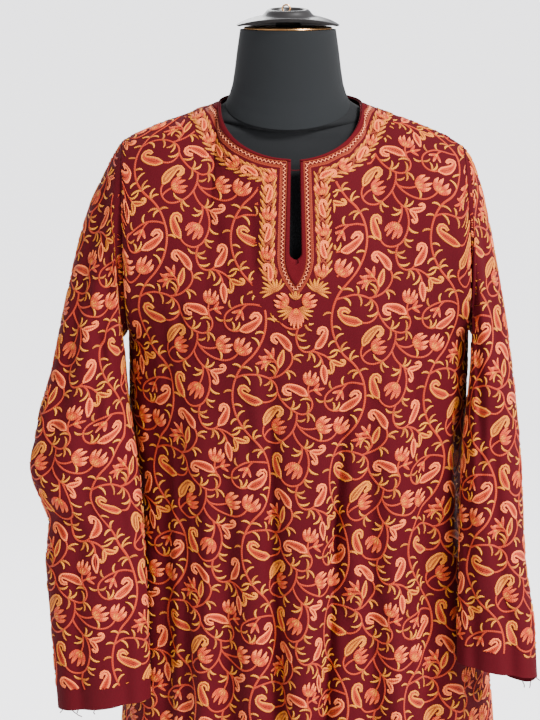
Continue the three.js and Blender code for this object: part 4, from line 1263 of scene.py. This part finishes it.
class Stitching:
    """Rows of chain stitch on flat cloth, in millimetres. Each row is a low crowned ribbon."""

    def __init__(self):
        self.points, self.faces, self.tints, self.runs, self.base = [], [], [], [], 0.0

    def row(self, line, width, threads, height=0.8, low=0.12):
        """A row whose threads blend one into the next along it, its back a ridge of this height."""
        line, low = np.asarray(line, float), low + self.base
        way = unit(np.gradient(line, axis=0))
        side = np.stack([-way[:, 1], way[:, 0]], -1) * (np.broadcast_to(width, len(line)) / 2)[:, None]
        first, run = len(self.points), run_along(line)
        dyes = np.array([colour(*THREADS[thread])[:3] for thread in threads])
        shares = run / max(run[-1], 1e-9) * (len(dyes) - 1)
        shade = np.stack([np.interp(shares, np.arange(len(dyes)), dyes[:, i]) for i in range(3)], -1)
        for i, (p, s) in enumerate(zip(line, side)):
            self.points += [(*(p - s), low), (*p, low + height), (*(p + s), low)]
            self.tints += [tuple(shade[i])] * 3
            self.runs += [(run[i], 0.0), (run[i], 0.5), (run[i], 1.0)]
        for a in range(first, len(self.points) - 3, 3):
            self.faces += [(a, a + 3, a + 4, a + 1), (a + 1, a + 4, a + 5, a + 2)]

    def patch(self, loop, thread, low=0.1):
        """A filled shape under rows of stitches, from a loop up one side and down the other."""
        first, last = len(self.points), len(self.points) + len(loop) - 1
        self.points += [(x, y, low + self.base) for x, y in loop]
        self.tints += [colour(*THREADS[thread])[:3]] * len(loop)
        self.runs += [(x * 0.5, y * 0.5) for x, y in loop]
        x, y = loop[:, 0], loop[:, 1]
        turned_left = (x * np.roll(y, -1) - np.roll(x, -1) * y).sum() > 0
        for i in range(len(loop) // 2 - 1):
            quad = (first + i, first + i + 1, last - i - 1, last - i)
            self.faces.append(quad if turned_left else quad[::-1])

    def work(self):
        return flat_work(self.points, self.faces, self.runs, self.tints)


def petal(work, place, heading, length, width, bend, threads, height=0.9, low=0.14, blunt=0.3):
    """One tapered row of stitches that bends to the left by so many degrees."""
    bend = bend if abs(bend) > 3 else 3
    line, _ = arcs_from(place, heading, ((length / math.radians(abs(bend)), bend),), length / 4)
    shares = np.linspace(0, 1, len(line))
    taper = np.minimum(0.4 + 2 * shares, 1) * (1 - (1 - blunt) * smooth(0.62, 1.0, shares))
    work.row(line, width * taper, threads, height, low)


def paisley(work, place, heading, size, side, shades):
    """A slim drop that stands on its rounded foot and curls its narrow tip over to one side."""
    outline, second, core, ground = SHADES[shades]
    shares = np.linspace(0, 1, DROP["points"])
    way = np.radians(-10 + 24 * smooth(0, 0.5, shares) + 200 * smooth(0.5, 1.0, shares))
    spine = np.cumsum(np.stack([np.cos(way), np.sin(way)], -1), 0) * size * DROP["length"] / DROP["points"]
    half = size * DROP["half"] * (0.42 + 0.58 * smooth(0, 0.17, shares))
    half *= (1 - 0.42 * smooth(0.3, 0.68, shares)) * (1 - 0.3 * smooth(0.8, 1.0, shares))
    normal = np.stack([-np.sin(way), np.cos(way)], -1)
    for inset, thread, width, stations in ((1.0, outline, 2.2, 14), (2.9, second, 2.1, 9)):
        inside = shares[half - inset > 0.15]
        if len(inside) < 6:
            continue
        at = np.linspace(inside[0], inside[-1], stations)
        line, out = (
            np.stack([np.interp(at, shares, v[:, i]) for i in (0, 1)], -1) for v in (spine, normal)
        )
        room = np.interp(at, shares, half - inset) * np.where(np.arange(stations) == 0, 0.4, 1)
        off = out * room[:, None]
        loop = placed(np.concatenate([line + off, (line - off)[::-1]]), place, heading, side)
        if thread == outline:
            work.patch(loop, ground)
        work.row(np.concatenate([loop, loop[:1]]), width, (thread, thread), 0.9, 0.14)
    work.row(placed(spine[6:32:6], place, heading, side), 1.5, (core, core), 0.9, 0.2)


def flower(work, place, heading, size, side, shades):
    """A cup with fingers of petals fanned out of it, pale at their tips."""
    tip, middle_thread = ("pink", "rose") if shades == "pink" else ("rose", "salmon")
    foot = "leaf_dark" if shades == "gold" else "salmon"
    for turn, length, lean in ((-56, 0.9, 66), (56, 0.9, -66), (-20, 1.0, 22), (20, 1.0, -22)):
        start = placed([(size * 0.04, turn * size * 0.002)], place, heading)[0]
        threads = (middle_thread, "salmon", "salmon", tip, tip)
        petal(work, start, heading + turn, size * length, size * 0.27, lean, threads, 1.0, 0.14, 0.25)
    threads = (foot, "gold", "core")
    for turn in (-46, 46, 0):
        petal(work, place, heading + turn, size * 0.52, size * 0.2, -turn * 0.9 - 3, threads, 1.2, 0.2)


def bud(work, place, heading, size, side, shades):
    """A small opening bud of three petals."""
    tip = "pink" if shades == "pink" else "rose"
    for turn, length in ((-34, 0.85), (34, 0.85), (0, 1.0)):
        petal(work, place, heading + turn, size * length, size * 0.27, turn * 0.5, ("salmon", "salmon", tip))
    petal(work, place, heading, size * 0.4, size * 0.3, 3, ("gold", "leaf"), 1.2, 0.2)


def spindle(work, place, heading, size, side, shades):
    """A closed pointed bud: an outline round a core."""
    outline, second, core, _ = SHADES[shades]
    shares = (1 - np.cos(np.linspace(0, math.pi, 9))) / 2
    half = size * 0.15 * np.sin(math.pi * shares**0.8) + 0.2
    upper, lower = (np.stack([shares * size, edge], -1) for edge in (half, -half))
    loop = placed(np.concatenate([upper, lower[::-1]]), place, heading)
    work.patch(loop, second)
    work.row(np.concatenate([loop, loop[:1]]), 2.1, (outline, outline), 0.8, 0.14)
    core_line = placed([(size * s, 0) for s in (0.14, 0.38, 0.62, 0.86)], place, heading)
    work.row(core_line, 1.8, (core, core), 0.9)


def twins(work, place, heading, size, side, shades):
    """Two small paisleys that part from one stalk."""
    paisley(work, place, heading + 28, size, 1, shades)
    paisley(work, place, heading - 26, size * 0.88, -1, shades)


# Motifs: what draws each one, all called alike, and the discs (distance from its foot, off to its
# curled side, radius) that it covers, as shares of its size
MOTIFS = {
    "paisley": (
        paisley, ((0.2, 0, 0.17), (0.5, 0, 0.17), (0.78, 0.04, 0.14), (0.92, 0.2, 0.12), (0.76, 0.4, 0.1))
    ),
    "twins": (
        twins, ((0.3, 0, 0.24), (0.65, 0.34, 0.26), (0.6, -0.34, 0.26), (0.9, 0.55, 0.25), (0.85, -0.5, 0.2))
    ),
    "flower": (flower, ((0.3, 0, 0.3), (0.62, 0.32, 0.24), (0.62, -0.32, 0.24), (0.85, 0, 0.28))),
    "spindle": (spindle, ((0.2, 0, 0.16), (0.5, 0, 0.18), (0.8, 0, 0.16))),
    "bud": (bud, ((0.3, 0, 0.24), (0.7, 0.3, 0.2), (0.7, -0.3, 0.2), (0.9, 0, 0.2))),
}
STEM = {"radius": 62, "turn": 48, "start": (30, 0)}
REPEAT = (116.0, 4 * STEM["radius"] * math.sin(math.radians(STEM["turn"])))
# What grows on the vine, in order: motif, size, shades, and its stalk's arcs of one bend
GROWTH = (
    ("paisley", 31, "pink", ((42, 62), (13, 165))),
    ("paisley", 32, "gold", ((38, 66), (13.5, 160))),
    ("paisley", 30, "pink", ((46, 50), (12.5, 170))),
    ("paisley", 31, "amber", ((34, 80), (14, 140))),
    ("flower", 20, "pink", ((30, 60), (16, 60))),
    ("twins", 19, "pink", ((30, 50),)),
    ("paisley", 30, "gold", ((34, 60), (14, 120))),
    ("flower", 19, "gold", ((30, 44),)),
    ("paisley", 29, "pink", ((30, 60), (14, 60))),
    ("flower", 19, "pink", ((24, 54),)),
    ("paisley", 28, "pink", ((26, 60), (12, 110))),
    ("twins", 18, "gold", ((26, 50),)),
    ("spindle", 22, "pink", ((24, 44),)),
    ("paisley", 28, "amber", ((26, 60),)),
    ("flower", 18, "gold", ((22, 40),)),
    ("paisley", 26, "pink", ((24, 50),)),
    ("flower", 17, "pink", ((20, 40),)),
    ("spindle", 20, "gold", ((24, 30),)),
    ("bud", 15, "pink", ((20, 34),)),
    ("bud", 14, "gold", ((18, 34),)),
    ("bud", 14, "pink", ((16, 30),)),
    ("bud", 13, "gold", ((14, 30),)),
)
GROWTH_SEED = 11
GROWTH_TRIES = 500
STALK_ROOM = 4.6
MOTIF_ROOM = 2.6
LEAF_ROOM = 1.7
LEAF_PITCH = 16.5
# Room is kept in cells of this size; bare ground counts as this much, and a disc is felt this far
GROUND_CELL = 1.5
GROUND_OPEN = 60.0
GROUND_REACH = 40
# Ranges that a stalk's stretch and the angle at which it leaves its stem are drawn from
STALK_STRETCH = (0.85, 1.25)
STALK_ANGLE = (20, 60)
# A paisley leans no further than this from upright, in degrees
UPRIGHT = 78
# Leaf curls at one place on a stem: side, spread in degrees, length, and how far each bends
LEAF_PAIRS = ((1, 22, 15), (-1, 22, 15), (1, 62, 11.5), (-1, 62, 11.5))
LEAF_BEND = 88
LEAF_THREADS = (("leaf_dark", "leaf", "leaf_light"), ("leaf", "leaf_light"), ("leaf_dark", "leaf"))


class Ground:
    """Room left on one repeat of the field, whose next columns sit half a repeat lower."""

    def __init__(self):
        self.x = np.arange(0, REPEAT[0], GROUND_CELL)
        self.y = np.arange(0, REPEAT[1], GROUND_CELL)
        self.room = np.full((len(self.x), len(self.y)), GROUND_OPEN)

    def take(self, points, radius):
        for x, y in np.atleast_2d(points):
            for i in (-1, 0, 1):
                for j in (-2, -1, 0, 1, 2):
                    dx = self.x - (x + i * REPEAT[0])
                    dy = self.y - (y + (j + i / 2) * REPEAT[1])
                    if np.abs(dx).min() < GROUND_REACH and np.abs(dy).min() < GROUND_REACH:
                        self.room = np.minimum(self.room, np.hypot(dx[:, None], dy[None, :]) - radius)

    def at(self, points):
        points = np.atleast_2d(points)
        column = np.floor(points[:, 0] / REPEAT[0])
        y = (points[:, 1] - column * REPEAT[1] / 2) % REPEAT[1]
        i = ((points[:, 0] - column * REPEAT[0]) / GROUND_CELL).astype(int).clip(0, len(self.x) - 1)
        return self.room[i, (y / GROUND_CELL).astype(int).clip(0, len(self.y) - 1)]


def fitting_stalk(chance, ground, vines, motif, size, arcs):
    """Of many stalks tried at random, the one whose motif fits most closely into the room left."""
    discs = MOTIFS[motif][1]
    best = None
    for _ in range(GROWTH_TRIES):
        line, headings = vines[chance.integers(len(vines))]
        i = chance.integers(2, len(line) - 1)
        side, stretch = chance.choice((-1, 1)), chance.uniform(*STALK_STRETCH)
        curl = chance.choice((-1, 1))
        leave = chance.uniform(*STALK_ANGLE) * side
        grown = arcs_from(line[i], headings[i] + leave, [(r * stretch, side * a) for r, a in arcs])
        upright = abs((grown[1][-1] - 90 + 180) % 360 - 180)
        spots = placed(placed([d[:2] for d in discs], (0, 0), 0, curl) * size, grown[0][-1], grown[1][-1])
        stalk = grown[0][: max(len(grown[0]) - 4, 1)]
        own = min(np.linalg.norm(stalk - spot, axis=1).min() - d[2] * size for spot, d in zip(spots, discs))
        clear = ground.at(grown[0][min(5, len(grown[0]) - 1) :]).min() - STALK_ROOM
        apart = (ground.at(spots) - [d[2] * size + MOTIF_ROOM for d in discs]).min()
        if clear < 0 or min(apart, own - MOTIF_ROOM) < 0 or motif == "paisley" and upright > UPRIGHT:
            continue
        snug = ground.at(spots).mean()
        if best is None or snug < best[0]:
            best = (snug, grown, curl, spots)
    return best


def field_repeat():
    """One repeat: a winding stem, stalks that fill the room beside it one by one, then leaf curls."""
    work, ground = Stitching(), Ground()
    chance = np.random.default_rng(GROWTH_SEED)
    radius, turn = STEM["radius"], STEM["turn"]
    stem = arcs_from(STEM["start"], 90, ((radius, -turn), (radius, 2 * turn), (radius, -turn)))
    work.row(stem[0], 2.5, ("vine", "vine_light", "vine"), 0.85, 0.1)
    ground.take(stem[0][::2], 1.5)
    vines = [stem]
    for motif, size, shades, arcs in GROWTH:
        best = fitting_stalk(chance, ground, vines, motif, size, arcs)
        if best is None:
            continue
        _, (line, headings), curl, spots = best
        work.row(line, 2.3 - 0.3 * np.linspace(0, 1, len(line)), ("vine", "vine_light"), 0.85, 0.1)
        draw, discs = MOTIFS[motif]
        draw(work, line[-1], headings[-1], size, curl, shades)
        ground.take(line[2:], 1.3)
        for spot, disc in zip(spots, discs):
            ground.take(spot, disc[2] * size)
        vines.append((line, headings))
    for line, headings in vines:
        nodes = max(round(len(line) * STITCH_STEP / LEAF_PITCH), 1)
        for k in range(nodes):
            i = round((k + 0.5) / nodes * (len(line) - 1))
            for order, (side, spread, length) in enumerate(LEAF_PAIRS):
                heading, bend = headings[i] + side * spread, side * LEAF_BEND
                curl, _ = arcs_from(line[i], heading, ((length / 1.54, bend),), length / 5)
                if ground.at(curl[3:]).min() > LEAF_ROOM:
                    petal(work, line[i], heading, length, 2.6, bend, LEAF_THREADS[(k + order) % 3], 0.85)
                    ground.take(curl[3:], 1.2)
    return work


# Length of one chain stitch, in metres
LINK = 0.0022
thread = Finish("wool_thread", Roughness=0.62, Specular_IOR_Level=0.2, Sheen_Weight=0.06, Sheen_Roughness=0.4)
along_row, across_row = thread.part(thread.flat_place(), 0), thread.part(thread.flat_place(), 1)
lint = thread.noise(thread.place(), 1400.0, 2.0)
link = ((along_row * (math.tau / LINK)) + (across_row * 1000 - 0.5).math("ABSOLUTE") * 5.0).math("SINE")
dyed = thread.add("ShaderNodeAttribute", {"attribute_name": "tint"})
soft = thread.mix(lint * 0.35, dyed, colour(250, 214, 170), "MULTIPLY")
shadow = thread.mix((0.5 - link * 0.5) * 0.45, soft, colour(120, 60, 40), "MULTIPLY")
thread.set("Base Color", shadow)
thread.set("Roughness", 0.55 + lint * 0.2)
thread.bump(link * 0.6 + lint * 0.6, 0.6, 0.0005)

BORDER = {"middle": 19.5, "clear": 32.0, "pitch": 22.5}
# Flowers of the border lie this much higher, on its leaves
RAISED = 0.5
# The garlands stop above the slit's point at this height, and the field keeps clear of these
# places below it, X from the slit's middle and Z
GARLAND_END = 1209
POINT_PLACES = ((0, 1190), (-16, 1204), (16, 1204), (0, 1202))
GOLD_LEAVES = (("leaf_dark", "leaf", "leaf_light"), ("leaf_dark", "leaf"), ("brown", "leaf", "leaf_light"))
# Rows beside the strips: how far out each lies, its thread and its width; then the zigzag itself
EDGE_ROWS = ((0.9, "brown", 1.7), (6.3, "brown", 1.6), (8.0, "rust", 1.9))
ZIGZAG = {"off": 3.6, "step": 2.4, "swing": 1.4, "width": 1.35}


def border_line(off):
    """A line round the opening, so far outside the strips, from shoulder to shoulder by the point."""
    halves = []
    for sign, (neck, widths) in ((-1, neck_left), (1, neck_right)):
        line, down = beside(neck, widths + off), flat_at(slit_line(sign, off))
        slit_x = down[0, 0]
        corner = np.array([slit_x, np.interp(slit_x, line[:, 0], line[:, 1])])
        outside = line[(line[:, 0] - slit_x) * sign > 0.5]
        below = down[down[:, 1] < corner[1] - 0.5]
        parts = [outside, corner[None], below] if sign < 0 else [below[::-1][1:], corner[None], outside]
        halves.append(np.concatenate(parts))
    return even(np.concatenate(halves), STITCH_STEP)


def back_line(off):
    """The same for the back: a line so far outside the strip of its neckline."""
    return even(beside(neck_back[0], neck_back[1] + off), STITCH_STEP)


def zigzag(work, line):
    """A small pale zigzag between two brown rows, and a rust row outside them."""
    for off, thread_name, width in EDGE_ROWS:
        work.row(line(off), width, (thread_name, thread_name), 0.8, 0.12)
    base = even(line(ZIGZAG["off"]), ZIGZAG["step"])
    swing = np.where(np.arange(len(base)) % 2, ZIGZAG["swing"], -ZIGZAG["swing"])
    work.row(beside(base, swing), ZIGZAG["width"], ("cream", "cream"), 0.8, 0.2)


def garland(work, line, outside):
    """Flowers and paisleys by turns on a line that runs down from the shoulder; outside is 1 where
    the panel's field lies to its right. Two brown vines weave round them, with gold leaves."""
    run, way = run_along(line), unit(np.gradient(line, axis=0))
    count = max(round(run[-1] / BORDER["pitch"]), 1)
    pitch = run[-1] / count

    def at(s):
        p = np.array([np.interp(s, run, line[:, i]) for i in (0, 1)])
        w = np.array([np.interp(s, run, way[:, i]) for i in (0, 1)])
        return p, math.degrees(math.atan2(w[1], w[0]))

    for sign in (1, -1):
        swing = 7.8 * np.sin(run / pitch * math.pi) * sign
        work.row(beside(line, swing), 1.9, ("rust", "brown", "rust"), 0.7, 0.12)
    for k, s in enumerate(np.arange(1.5, run[-1] - 1, 4.2)):
        p, heading = at(s)
        out = np.array([math.sin(math.radians(heading)), -math.cos(math.radians(heading))]) * outside
        tone, next_tone = GOLD_LEAVES[k % 3], GOLD_LEAVES[(k + 1) % 3]
        outward_heading = heading + 180 + outside * (44 + 16 * (k % 2))
        petal(work, p + out * 3.0, outward_heading, 11 + k % 3, 2.9, -outside * 40, tone, 1.0, 0.2)
        inward_heading = heading + 180 - outside * (34 + 10 * (k % 2))
        petal(work, p - out * 2.5, inward_heading, 9 + k % 2, 2.5, outside * 34, next_tone, 0.9, 0.16)
    work.base = RAISED
    for k in range(count):
        p, heading = at((k + 0.5) * pitch)
        upward = heading + 180 - 20 * outside
        size = 21 if k % 2 else 15
        foot = p - size * 0.5 * np.array([math.cos(math.radians(upward)), math.sin(math.radians(upward))])
        if k % 2:
            paisley(work, foot, upward, size, outside, "pink")
        else:
            flower(work, foot, upward, size, 1, "pink")
    work.base = 0.0


def point_group(work):
    """Below the slit's point: two flowers, and a lotus that hangs between fans of leaves."""
    x = SLIT["x"]

    def leaf(k, place, heading, length, width, bend):
        petal(work, place, heading, length, width, bend, GOLD_LEAVES[k % 3], 1.0, 0.2)

    for sign in (-1, 1):
        middle_fan, side_fan, low_fan = flat_at([(x, 1188), (x + sign * 24, 1197), (x + sign * 4, 1178)])
        for k, turn in enumerate((-34, -14, 6, 26, 46, 66, 88, 110, 132)):
            leaf(k, side_fan, 90 + sign * (30 - turn), 15 + 2 * (k % 2), 3.0, -sign * 30)
        for k, turn in enumerate((18, 40, 62)):
            leaf(k, middle_fan, 90 - sign * turn, 10, 2.3, sign * 30)
        for k, turn in enumerate((78, 98, 118, 138, 158)):
            leaf(k, low_fan, 90 - sign * turn, 17 + k % 2, 2.9, sign * 34)
    work.base = RAISED
    for sign in (-1, 1):
        foot = flat_at([(x + sign * 8.5, 1183)])[0]
        flower(work, foot, 90 - sign * 62, 16.5, 1, "pink")
    foot = flat_at([(x + 0.7, 1178)])[0]
    threads = ("salmon", "salmon", "rose", "pink")
    for turn, length in ((-50, 18), (50, 18), (-30, 21), (30, 21), (-11, 23), (11, 23)):
        petal(work, foot, -90 + turn, length, 4.6, -turn * 0.9, threads, 1.1, 0.2, 0.3)
    for turn in (-36, 0, 36):
        petal(work, foot, -90 + turn, 9, 3.0, -turn, ("gold", "gold", "core"), 1.3, 0.3)
    work.base = 0.0


border = Stitching()
zigzag(border, border_line)
garland_line = border_line(BORDER["middle"])
low_y = flat_at([(SLIT["x"], GARLAND_END)])[0, 1]
lowest = int(np.argmin(garland_line[:, 1]))
left_half, right_half = garland_line[: lowest + 1], garland_line[lowest:][::-1]
garland(border, left_half[left_half[:, 1] > low_y], 1)
garland(border, right_half[right_half[:, 1] > low_y], -1)
point_group(border)

back_border = Stitching()
zigzag(back_border, back_line)
garland(back_border, back_line(BORDER["middle"]), 1)

front_border = lay("front_border", border.work(), bare_front, thread)
back_border_piece = lay("back_border", back_border.work(), bare_back, thread)


# Room that the field leaves at a seam, at the turned hem and at the cuff
SEAM_ROOM = 1.2
HEM_ROOM = 18
CUFF_ROOM = 24


def nearest(points, line):
    """Distance of each flat point from a line of points, in millimetres."""
    near = np.full(len(points), 1e9)
    for place in line:
        near = np.minimum(near, ((points - place) ** 2).sum(1))
    return np.sqrt(near)


def panel_room(cloth, low_room, border_edge):
    """Room of a panel's points from its edges, its hem and its border."""
    flat = cloth["flat"] / MM
    u, v = flat[..., 0], flat[..., 1]
    room = np.minimum(u - u[:, :1], u[:, -1:] - u) - SEAM_ROOM
    room = np.minimum(room, v - v[:1] - low_room)
    room = np.minimum(room, v[-1:] - v - SEAM_ROOM)
    if border_edge is not None:
        away = nearest(flat.reshape(-1, 2), border_edge).reshape(room.shape)
        room = np.minimum(room, away - BORDER["clear"])
    return room


point_places = flat_at([(SLIT["x"] + x, z) for x, z in POINT_PLACES])
front_edge = np.concatenate([border_line(0), point_places])
field = field_repeat().work()
embroidery = {}
for name, cloth, low_room, edge in (
    ("front", front_cloth, HEM_ROOM, front_edge),
    ("back", back_cloth, HEM_ROOM, back_line(0)),
    ("sleeve_left", sleeves["left"], CUFF_ROOM, None),
    ("sleeve_right", sleeves["right"], CUFF_ROOM, None),
):
    flat = cloth["flat"].reshape(-1, 2) / MM
    low, high = flat.min(0), flat.max(0)
    columns = int(np.ceil((high[0] - low[0]) / REPEAT[0])) + 2
    rows = int(np.ceil((high[1] - low[1]) / REPEAT[1])) + 2
    start = (low[0] - REPEAT[0], low[1] - REPEAT[1] * 1.2)
    side = outer_side(cloth, panel_room(cloth, low_room, edge))
    embroidery[name] = lay(
        name + "_field", field, side, thread, columns, rows, REPEAT, start, 0.0
    )
for helper in helpers:
    bpy.data.objects.remove(helper)


# Loose ends. A short bar of twisted thread holds the slit together near its top, and the raw
# cuffs fray into a few dark threads.
BAR = {"z": 1333, "radius": 0.42, "turns": 7, "sag": 0.8}
FRAY_RADIUS = 0.62
STRAND_SIDES = 5
# A direction that no thread runs in
OBLIQUE = (0.31, 0.92, 0.24)
# Loose threads of each cuff: the column of the sleeve they hang from, length and sideways curl
FRAYS = {
    "left": ((61, 9, 11), (63, 4, -1), (69, 5, 1), (55, 4, -2), (30, 8, -3)),
    "right": ((39, 12, -3), (45, 6, 4), (20, 5, 1), (60, 8, 2)),
}


def strands(name, lines, radius, finish, slot):
    """Round threads along lines of points, as one piece."""
    points, faces = [], []
    turns = np.linspace(0, math.tau, STRAND_SIDES, endpoint=False)
    for line in lines:
        line = np.asarray(line, float)
        way = unit(np.gradient(line, axis=0))
        aside = unit(np.cross(way, OBLIQUE))
        over, first = np.cross(way, aside), len(points)
        for place, a, b in zip(line, aside, over):
            for turn in turns:
                points.append(place + radius * (a * math.cos(turn) + b * math.sin(turn)))
        faces += [tuple(first + corner for corner in face) for face in tube_faces(len(line), STRAND_SIDES)]
    return mesh_piece(name, points, faces, finish, slot, 60)


dark_thread = Finish("dark_thread", Roughness=0.8, Specular_IOR_Level=0.1, Base_Color=colour(48, 3, 6))
bar_share = np.linspace(0, 1, 40)
bar_row = np.abs(front_points[:, middle_cell, 2] - BAR["z"]).argmin()
slit_edge = front_points[bar_row, [middle_cell, middle_cell + 1]]
bar_line = slit_edge[0] + (slit_edge[1] - slit_edge[0]) * (bar_share[:, None] * 1.1 - 0.05)
bar_line = bar_line + (0, WALL / 2, 0)
bar_line[:, 2] = BAR["z"] - BAR["sag"] * np.sin(bar_share * math.pi)
bar_turn = bar_share * BAR["turns"] * math.tau
bar_twist = np.stack([0 * bar_turn, np.cos(bar_turn), np.sin(bar_turn)], -1) * BAR["radius"]
bar_lines = [bar_line + bar_twist, bar_line - bar_twist]
thread_bar = strands("thread_bar", bar_lines, BAR["radius"], dark_thread, "plain_cloth")

frays = {}
for side, table in FRAYS.items():
    lines = []
    for column, length, curl in table:
        start = sleeves[side]["points"][0, column] - sleeves[side]["normals"][0, column] * WALL / 2
        share = np.linspace(0, 1, 8)
        sway = curl * share**2 + 0.6 * np.sin(share * 7 + column)
        lines.append(start + np.stack([sway, 0.4 * sway, 1.5 - share * (length + 1.5)], -1))
    frays[side] = strands("frayed_" + side, lines, FRAY_RADIUS, dark_thread, "embroidered_cloth")


# Cloth sheets. The width, length and area of what was cut flat for each panel and sleeve,
# without seam allowances, are worked out from its flat map.
def cut_of(cloth):
    """Width and length of a panel's flat cut, and its area, in metres."""
    corners = cloth["flat"].reshape(-1, 2)[cloth["faces"]]
    width, length = (corners.max((0, 1)) - corners.min((0, 1))).tolist()
    x, y = corners[..., 0], corners[..., 1]
    area = abs((x * np.roll(y, -1, 1) - np.roll(x, -1, 1) * y).sum(1)).sum() / 2
    return (width, length), float(area)


left_sleeve, right_sleeve = sleeves["left"], sleeves["right"]
on_front = [embroidery["front"], front_border, slit_strip, neck_strip, thread_bar]
for piece, cloth, rests_on, on_it in (
    (front, front_cloth, ["torso"], on_front),
    (back, back_cloth, ["torso"], [embroidery["back"], back_border_piece]),
    (left_sleeve["piece"], left_sleeve, ["front_panel"], [embroidery["sleeve_left"], frays["left"]]),
    (right_sleeve["piece"], right_sleeve, ["front_panel"], [embroidery["sleeve_right"], frays["right"]]),
):
    flat_size, area = cut_of(cloth)


# Floor and light. A plain pale floor lies far out on all sides under a pale surround, as in a
# small studio. A wide light from the side and three soft round lamps shape the folds.
FLOOR_REACH = 60000
SURROUND = {"colour": (0.93, 0.94, 1.0, 1), "strength": 0.85}
WIDE_LIGHT = {"strength": 10.6, "spread": 16, "tilt": 42, "turn": 52}
CHEST = (0, 0, 1.1)
# Soft lamps: name, place, size, power, all turned towards the chest
LAMPS = (
    ("key_light", (1.7, -2.3, 2.6), 1.1, 110),
    ("fill_light", (-2.4, -1.9, 1.9), 2.0, 24),
    ("back_light", (-0.6, 2.6, 2.6), 2.0, 60),
)

corners = ((-1, -1), (1, -1), (1, 1), (-1, 1))
floor = mesh_object("floor", [(x * FLOOR_REACH, y * FLOOR_REACH, 0) for x, y in corners], [(0, 1, 2, 3)])
pale = Finish("pale_floor", Roughness=0.9, Base_Color=colour(240, 239, 241))
floor.data.materials.append(pale.material)
floor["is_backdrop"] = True

world = bpy.data.worlds.new("studio")
world.use_nodes = True
background = world.node_tree.nodes["Background"].inputs
background["Color"].default_value = SURROUND["colour"]
background["Strength"].default_value = SURROUND["strength"]
bpy.context.scene.world = world

sun_data = bpy.data.lights.new("wide_light", "SUN")
sun_data.energy = WIDE_LIGHT["strength"]
sun_data.angle = math.radians(WIDE_LIGHT["spread"])
sun = in_scene("wide_light", sun_data)
sun.rotation_euler = (math.radians(WIDE_LIGHT["tilt"]), 0, math.radians(WIDE_LIGHT["turn"]))
for name, place, size, power in LAMPS:
    light_data = bpy.data.lights.new(name, "AREA")
    light_data.shape = "DISK"
    light_data.size = size
    light_data.energy = power
    light = in_scene(name, light_data)
    light.location = place
    toward = np.array(CHEST) - np.array(place)
    spin = math.atan2(toward[1], toward[0]) - math.pi / 2
    tilt = math.pi / 2 + math.atan2(toward[2], math.hypot(toward[0], toward[1]))
    light.rotation_euler = (tilt, 0, spin)


size = {
    "cad": [list(corner) for corner in cad_box],
    "visual": [list(corner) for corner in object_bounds()],
}
